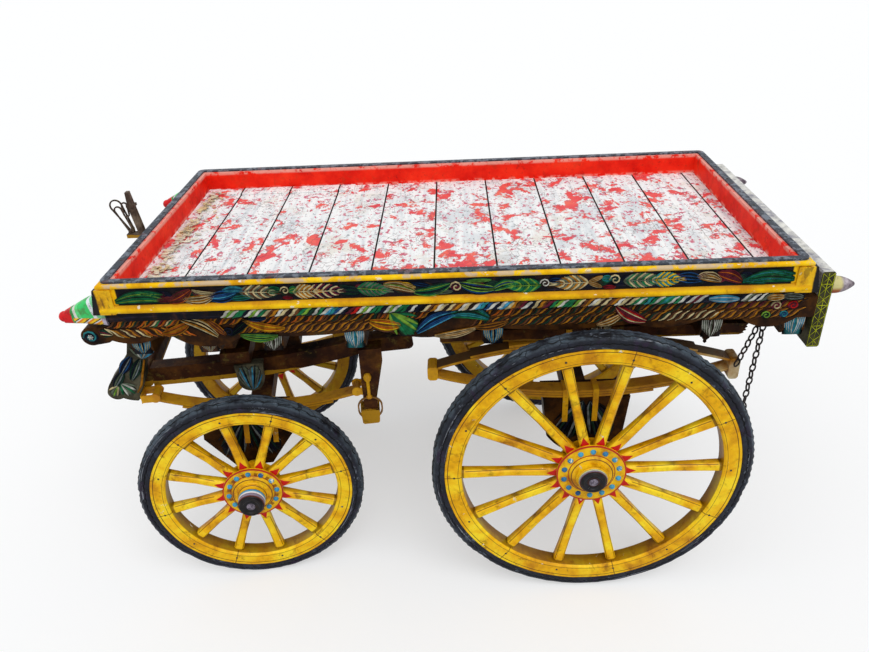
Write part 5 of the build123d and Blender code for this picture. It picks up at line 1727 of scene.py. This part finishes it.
def wheel_place(name: str) -> WheelPlace:
    """Where a wheel stands, from its tyre's box.

    Args:
        name: rear_left, rear_right, fore_left or fore_right.
    Returns:
        The place.
    """
    centre, side = middle_of(f"wheel_{name}_tyre"), 1 if name.endswith("left") else -1
    if name.startswith("rear"):
        pale = ("c9cf8a", "b9c2b4", "7c7488")
        return WheelPlace(name, centre, 0.0, side, 0.460, 0.050, 14, 76.8, 0.100, 0.065, 0.0648, pale)
    return WheelPlace(name, centre, STEER, side, 0.343, 0.046, 12, 79.7, 0.092, 0.056, 0.090,
                      (P.SKY, "e8e8ee", "8a8094"))


@dataclass
class WheelLooks:
    """Paint, bolts, rivets, hub cap and tyre of one wheel."""
    place: WheelPlace
    ring: Repeater
    bolt_circle: float = 0.80
    bolt_height: float = 0.007
    flange_face: float = 0.0165
    seed: int = 7

    @property
    def body(self) -> str:
        """The body that the wheel's pieces ride on."""
        return f"wheel_{self.place.name}"

    def local(self) -> Matrix:
        """From the wheel's own axes, with Y outwards along the axle, to the cart's."""
        flip = Matrix.Diagonal((1, self.place.side, 1, 1))
        return Matrix.Translation(self.place.centre) @ Matrix.Rotation(self.place.turn, 4, "Z") @ flip

    def paint_solids(self) -> None:
        """Give the wheel's solids their paint."""
        name = self.place.name
        dress(WheelCoat(f"{name}_wheel_coat", self.place).build(), f"{self.body}_felloe", f"{self.body}_spokes")
        dress(NaveCoat(f"{name}_nave_coat", self.place).build(), f"{self.body}_nave")

    def studs(self, title: str, head: Mesh, finish: Material, radius: float, first: float, out: float) -> Thing:
        """Heads round the axle, one for each spoke.

        Args:
            title: the end of the piece's name.
            head: one head.
            finish: its material.
            radius: radius of their circle.
            first: angle of the first one, in radians.
            out: how far out they sit.
        Returns:
            The piece.
        """
        made = self.ring.make(f"{self.place.name}_{title}", head, finish, Count=self.place.spokes, Radius=radius,
                              First_Angle=first)
        place = self.local() @ Matrix.Translation((0, out, 0)) @ Matrix.Rotation(-QUARTER, 4, "X")
        made.data.transform(place)
        if place.determinant() < 0:
            made.data.flip_normals()
        return made

    def bolts(self, finish: Material) -> Thing:
        """Domed bolts round the flange."""
        w, high = self.place, self.bolt_height
        return self.studs("flange_bolts", dome(0.0085, high, 14), finish, w.flange * self.bolt_circle,
                          math.radians(w.phase + 13), self.flange_face + high)

    def rivets(self, finish: Material) -> Thing:
        """Small rivets where each spoke enters the rim."""
        w = self.place
        return self.studs("rim_rivets", dome(0.0035, 0.0016, 8), finish, w.felloe_in + 0.022, -math.radians(w.phase),
                          w.half_felloe)

    def hub(self) -> Thing:
        """Collar with painted rings, and a black cap with a bolt in its hollow end."""
        w = self.place
        start, black, end = w.collar, w.black_start, w.hub_end
        profile = [(0.0, start), (0.0432, start), (0.0438, start + 0.0014), (0.0428, start + 0.0028),
                   (0.0418, start + 0.0034), (0.0405, (start + black) / 2), (0.0398, black - 0.0016),
                   (0.0388, black - 0.0004), (0.0368, black), (0.0352, black + 0.0006), (0.0348, end - 0.0022),
                   (0.0336, end - 0.0006), (0.0318, end), (0.0266, end - 0.0003), (0.0244, end - 0.0016),
                   (0.0232, end - 0.0046), (0.0148, end - 0.0052), (0.0128, end - 0.0030), (0.0098, end - 0.0014),
                   (0.0, end - 0.0012)]
        mesh = lathe(f"{w.name}_hub_cap", profile, 48, self.local())
        return placed(mesh.name, mesh, CapCoat(f"{w.name}_cap_coat", w).build())

    def tyre(self) -> Thing:
        """Tyre of layered rubber, with a zigzag seam and lengthwise grooves."""
        w, draw, start = self.place, Random(self.seed), self.local()
        rim, inner, half = w.radius, w.radius - w.tyre, w.half_tyre
        steps = int(math.tau * rim / w.zigzag) * 4
        swell = [(draw.uniform(0.0002, 0.0009), draw.randint(3, 40), draw.uniform(0, math.tau)) for _ in range(9)]
        tread = ((0.025, 0, 0), (0.0235, 0.0005, 1), (0.0215, 0.004, 1), (0.0195, 0.0008, 1), (0.013, 0.0012, 0),
                 (0.007, 0.005, 0), (0.0035, 0.0095, 0.6), (0.005, 0.0112, 0.6), (0.0012, 0.0125, 0.6),
                 (0.0006, 0.019, 0), (0.004, 0.0205, 0), (0.0005, 0.022, 0))
        side = [(inner, 0.026, 0), (inner + 0.002, half, 0)]
        side += [(rim - depth, half - inset, wobble) for depth, inset, wobble in tread]
        profile = [(*point, 1.0) for point in side] + [(r, -out, wobble, -1.0) for r, out, wobble in reversed(side)]
        points = []
        for step in range(steps):
            a = math.tau * step / steps
            tooth = (0.0, 1.0, 0.0, -1.0)[step % 4] * 0.0022
            rough = sum(size * math.sin(turns * a + shift) for size, turns, shift in swell)
            for row, (r, out, wobble, sign) in enumerate(profile):
                stay = 0.0 if row in (0, len(profile) - 1) else 1.0
                radius = min(rim, r + tooth * wobble + stay * min(0.0, rough) * 0.9)
                across = out - sign * stay * abs(rough) * 0.6
                points.append(start @ Vector((radius * math.cos(a), across, radius * math.sin(a))))
        mesh = meshed(f"{w.name}_tyre_rubber", points, skin(steps, len(profile)))
        smooth_faces(mesh)
        return placed(mesh.name, mesh, Rubber(f"{w.name}_rubber", w).build())


@dataclass
class CarriageLooks:
    """Carving of the fore-carriage and of the axle chests."""
    carved: Material
    rear_axle: float = -0.388
    console_face: float = 0.308
    pendant_face: float = 0.284
    chest_face: float = 0.309
    rear_chest_face: float = 0.360

    def carve_carriage(self) -> Thing:
        """Carve the consoles, pendants and chests that steer."""
        work, dull = Carving("carriage_carving", 0.55), paints("deep_green grey sage navy")
        for side in BOTH:
            console, pendant, chest = (carriage_board(side, face) for face in
                                       (self.console_face, self.pendant_face, self.chest_face))
            work.leaf(console, (0.256, 0.794), (0.244, 0.845), 0.070, 8, paints("sage white grey sky"), 0.005)
            work.blade(console, (0.286, 0.802), (0.326, 0.748), 0.034, 5, paints("navy blue grey"))
            work.blade(console, (0.262, 0.792), (0.302, 0.724), 0.034, 5, dull)
            work.blade(console, (0.318, 0.756), (0.356, 0.704), 0.030, 4, dull)
            work.leaf(console, (0.334, 0.716), (0.306, 0.672), 0.050, 6, paints("sage white green"), 0.005)
            work.leaf(console, (0.345, 0.708), (0.366, 0.674), 0.038, 5, paints("sage cream leaf"), 0.005)
            work.ridge(console, ((0.250, 0.790), (0.266, 0.744), (0.278, 0.704), (0.294, 0.680)),
                       (0.006, 0.009, 0.009, 0.006), 0.004, P.OCHRE)
            for lean in BOTH[::-1]:
                work.leaf(pendant, (-0.034 + lean * 0.003, 0.634), (-0.034 + lean * 0.020, 0.722), 0.046, 7,
                          paints("sage grey sky navy"), 0.005, 0.0)
                work.leaf(chest, (lean * 0.01, 0.535), (lean * 0.075, 0.40), 0.10, 9,
                          paints("navy grey black deep_green"), 0.004, 0.05)
        return work.piece(self.carved)

    def carve_rear(self) -> Thing:
        """Carve the rear axle chests."""
        work, axle = Carving("rear_chest_carving", 0.3), self.rear_axle
        for side in BOTH:
            chest = tray_board(side, self.rear_chest_face)
            for lean in BOTH[::-1]:
                work.leaf(chest, (axle + lean * 0.01, 0.615), (axle + lean * 0.066, 0.475), 0.10, 9,
                          paints("black navy deep_green grey"), 0.004, 0.05)
        return work.piece(self.carved)

    def rods(self, finish: Material) -> list[Thing]:
        """Turned rods with a ball on the hanger posts' outer faces, left and right.

        Args:
            finish: its material.
        Returns:
            The pieces.
        """
        profile = ((0.0, -0.042), (0.009, -0.041), (0.009, -0.034), (0.005, -0.031), (0.0055, 0.020), (0.009, 0.024),
                   (0.012, 0.031), (0.0125, 0.037), (0.010, 0.045), (0.005, 0.050), (0.0, 0.051))
        made = []
        for side, title in ((1, "left"), (-1, "right")):
            place = STEERED @ Matrix.Translation((-0.385, side * 0.306, 0.615)) @ Matrix.Rotation(QUARTER, 4, "X")
            mesh = lathe(f"{title}_post_rod", profile, 14, place)
            made.append(placed(mesh.name, mesh, finish))
        return made


def arc_centre(middle: Vector, half: float, sag: float, arched_up: bool, end_z: float) -> tuple[Vector, float]:
    """Centre and inner radius of a leaf pack's arc.

    Args:
        middle: the pack's middle, of which X and Y count.
        half: half its length.
        sag: its rise.
        arched_up: whether its middle is higher than its ends.
        end_z: height of its ends.
    Returns:
        The centre and the radius.
    """
    radius = (half * half + sag * sag) / (2 * sag)
    return Vector((middle.x, middle.y, end_z + (1 if arched_up else -1) * (sag - radius))), radius


def paint_frame() -> None:
    """Give the frame, springs and ironwork their finishes."""
    dress(CarvedGround("carved_ground").build(), "sills", "cross_bearers", "fore_axle_chests", "rear_axle_chests")
    dress(CarvedGround("olive_ground", ("23211a", "3d3a2e", "5a5644", "39423c")).build(),
          "front_consoles", "console_feet", "pendants")
    worn = ("2a211c", "4a3c34", "7a6a5c", "a09080")
    dress(DarkTimber("rein_timber", 1.050, 0.014, 0.8, worn).build(), "rein_post")
    dress(HornCoat().build(), "front_horns")
    dress(TailCoat().build(), "tail_board")
    dress(DarkTimber("hanger_timber", 0.479, 0.052, 0.9).build(), "hanger_posts")
    dress(Iron("ring_iron", "7a5218", "b08428", "4a2a12").build(), "drop_rings")
    dress(DarkTimber("fore_beam_timber", 0.662).build(), "fore_beams")
    dress(DarkTimber("front_bar_timber", 0.662, 0.02).build(), "front_bar")
    dress(DarkTimber("rear_beam_timber", 0.827, 0.006, 0.4).build(), "rear_beams")
    dress(DarkTimber("plain_timber", -1.0).build(),
          "deck_stringers", "lower_bolster", "upper_bolster", "rear_axle_bed", "fore_axle_bed")
    dress(Iron("frame_iron", "1b1b1f").build(),
          "king_pin", "turntable_upper", "turntable_lower", "fore_axle", "rear_axle", "check_straps")
    dress(PlainCoat("yellow_iron", P.YELLOW, P.OCHRE, Wear("6a3c18", "c8b080", 0.6)).build(),
          "rear_spring_clips", "fore_spring_clips", "fore_spring_hangers")
    rear, fore = TRAY.point(-0.37), Vector((-0.044, 0, 0))
    dress(LeafedSpring("head_coat", rear, 0.0, 9.0, "d8a010", "ddd2ac").build(), "rear_spring_heads")
    for node, up, end_z in (("rear_springs_upper", True, 0.735), ("rear_springs_lower", False, 0.720)):
        centre, radius = arc_centre(rear, 0.425, 0.068, up, end_z)
        dress(LeafedSpring(node + "_coat", centre, 0.0, radius, "c8901c", "d8c088").build(), node)
    centre, radius = arc_centre(fore, 0.300, 0.046, False, 0.626)
    pivot = fore + Vector((0, 0, 0.556))
    centre = pivot + Matrix.Rotation(math.radians(-4.6), 3, "Y") @ (centre - pivot)
    dress(LeafedSpring("fore_spring_coat", STEERED @ centre, STEER, radius, "cc9418", "cc9418").build(),
          "fore_springs")


@dataclass(frozen=True)
class Studio:
    """Camera, floor and soft light."""
    focal: float = 741.87
    frame_width: float = 869.0
    yaw: float = math.radians(-2.187)
    pitch: float = math.radians(29.875)
    roll: float = math.radians(-2.896)
    glow: float = 0.42

    def camera(self) -> None:
        """Put the camera where the cart is looked at from its left side."""
        cy, sy, cp, sp = math.cos(self.yaw), math.sin(self.yaw), math.cos(self.pitch), math.sin(self.pitch)
        cr, sr = math.cos(self.roll), math.sin(self.roll)
        ahead, right = Vector((sy * cp, cy * cp, -sp)), Vector((cy, -sy, 0.0))
        up = right.cross(ahead)
        right, up = right * cr + up * sr, up * cr - right * sr
        turn = Matrix([Matrix.Diagonal((-1, -1, 1)) @ axis for axis in (right, up, -ahead)]).transposed().to_4x4()
        data = bpy.data.cameras.new("view")
        data.sensor_width = 36.0
        data.lens = self.focal / self.frame_width * data.sensor_width
        data.clip_end = 60.0
        camera = placed("view", data)
        camera.matrix_world = Matrix.Translation(TRAY.point(-0.02108, 2.14454, 1.91014)) @ turn
        bpy.context.scene.camera = camera

    def floor(self) -> None:
        """A pale floor that takes the cart's shadow."""
        reach = 40.0
        corners = [(-reach, -reach, 0), (reach, -reach, 0), (reach, reach, 0), (-reach, reach, 0)]
        graph = Graph("floor_white", 0.0, 0.0, 0.9)
        graph.feed(graph.shader["Emission Color"], (1.0, 1.0, 1.0))
        graph.feed(graph.shader["Emission Strength"], graph.seen() * self.glow)
        placed("floor", meshed("floor", corners, [(0, 1, 2, 3)]), graph.finish((0.56, 0.56, 0.56)))

    def lights(self) -> None:
        """Soft studio light from above and a pale world."""
        world = bpy.context.scene.world = bpy.data.worlds.new("studio")
        world.use_nodes = True
        sky = NodeTree(world.node_tree)
        sky.tree.nodes.clear()
        soft = sky.out("ShaderNodeBackground", {"Color": (0.96, 0.98, 1.0), "Strength": 0.66})
        white = sky.out("ShaderNodeBackground", {"Color": (1.0, 1.0, 1.0)})
        sky.node("ShaderNodeOutputWorld", {0: sky.out("ShaderNodeMixShader", {0: sky.seen(), 1: soft, 2: white})})
        for name, place, spread, power in (("key", (-1.1, 2.1, 3.2), 40.0, 1.15),
                                           ("fill", (1.6, 1.8, 2.6), 60.0, 0.40)):
            data = bpy.data.lights.new(name, "SUN")
            data.angle, data.energy = math.radians(spread), power
            placed(name, data).matrix_world = Vector(place).to_track_quat("Z", "Y").to_matrix().to_4x4()


def main() -> None:
    """Build the looks in order and report each piece."""
    logging.basicConfig(level=logging.INFO, format="%(name)s: %(message)s")
    carved, dark = CarvedCoat("carved_paint").build(), Iron("small_iron", "2a2622").build()
    blue = PlainCoat("bolt_blue", P.SKY, P.BLUE, Wear("1c2c40", P.WHITE, 0.3, 0.62)).build()
    dry = PlainCoat("dry_leaf", P.CREAM, P.WHITE, Wear(P.DARK_BROWN, P.OCHRE, 0.9, 0.62)).build()
    gold = PlainCoat("rod_gold", P.YELLOW, P.OCHRE).build()
    chain_iron = Iron("chain_iron", "170c0a", "5a3a34", "3c1a12", 0.62).build()
    ring = ring_tree()

    tray = TrayLooks(carved, PeeledBoards().build(), on_marks_tree())
    tray.paint_solids()
    paint_frame()
    hand_over(tray.carve_walls(), "bed", "carved_wood")
    hand_over(tray.carve_sills(), "bed", "carved_wood")
    hand_over(tray.nails(dark), "bed", "dark_iron")
    hand_over(tray.carve_tail(), "bed", "carved_wood")
    for piece in tray.litter(dry):
        hand_over(piece, "bed", "deck_paint")
    hand_over(tray.finials(FinialCoat().build()), "bed", "carved_wood", "tail_finials")
    hand_over(tray.chain(chain_iron), "bed", "dark_iron", "drag_chain")
    hand_over(tray.batten(), "bed", "deck_paint")

    for name in ("rear_left", "rear_right", "fore_left", "fore_right"):
        wheel = WheelLooks(wheel_place(name), ring)
        wheel.paint_solids()
        hand_over(wheel.bolts(blue), wheel.body, "dark_iron")
        hand_over(wheel.rivets(dark), wheel.body, "dark_iron")
        hand_over(wheel.hub(), wheel.body, "dark_iron", f"{wheel.body}_cap")
        hand_over(wheel.tyre(), wheel.body, "tyre", f"{wheel.body}_tyre")

    carriage = CarriageLooks(carved)
    hand_over(carriage.carve_carriage(), "fore_carriage", "carved_wood")
    hand_over(carriage.carve_rear(), "bed", "carved_wood")
    for piece in carriage.rods(gold):
        hand_over(piece, "fore_carriage", "yellow_iron")

    studio = Studio()
    studio.camera()
    studio.floor()
    studio.lights()
    bpy.context.scene.view_settings.view_transform = "Standard"


if __name__ == "__main__":
    main()
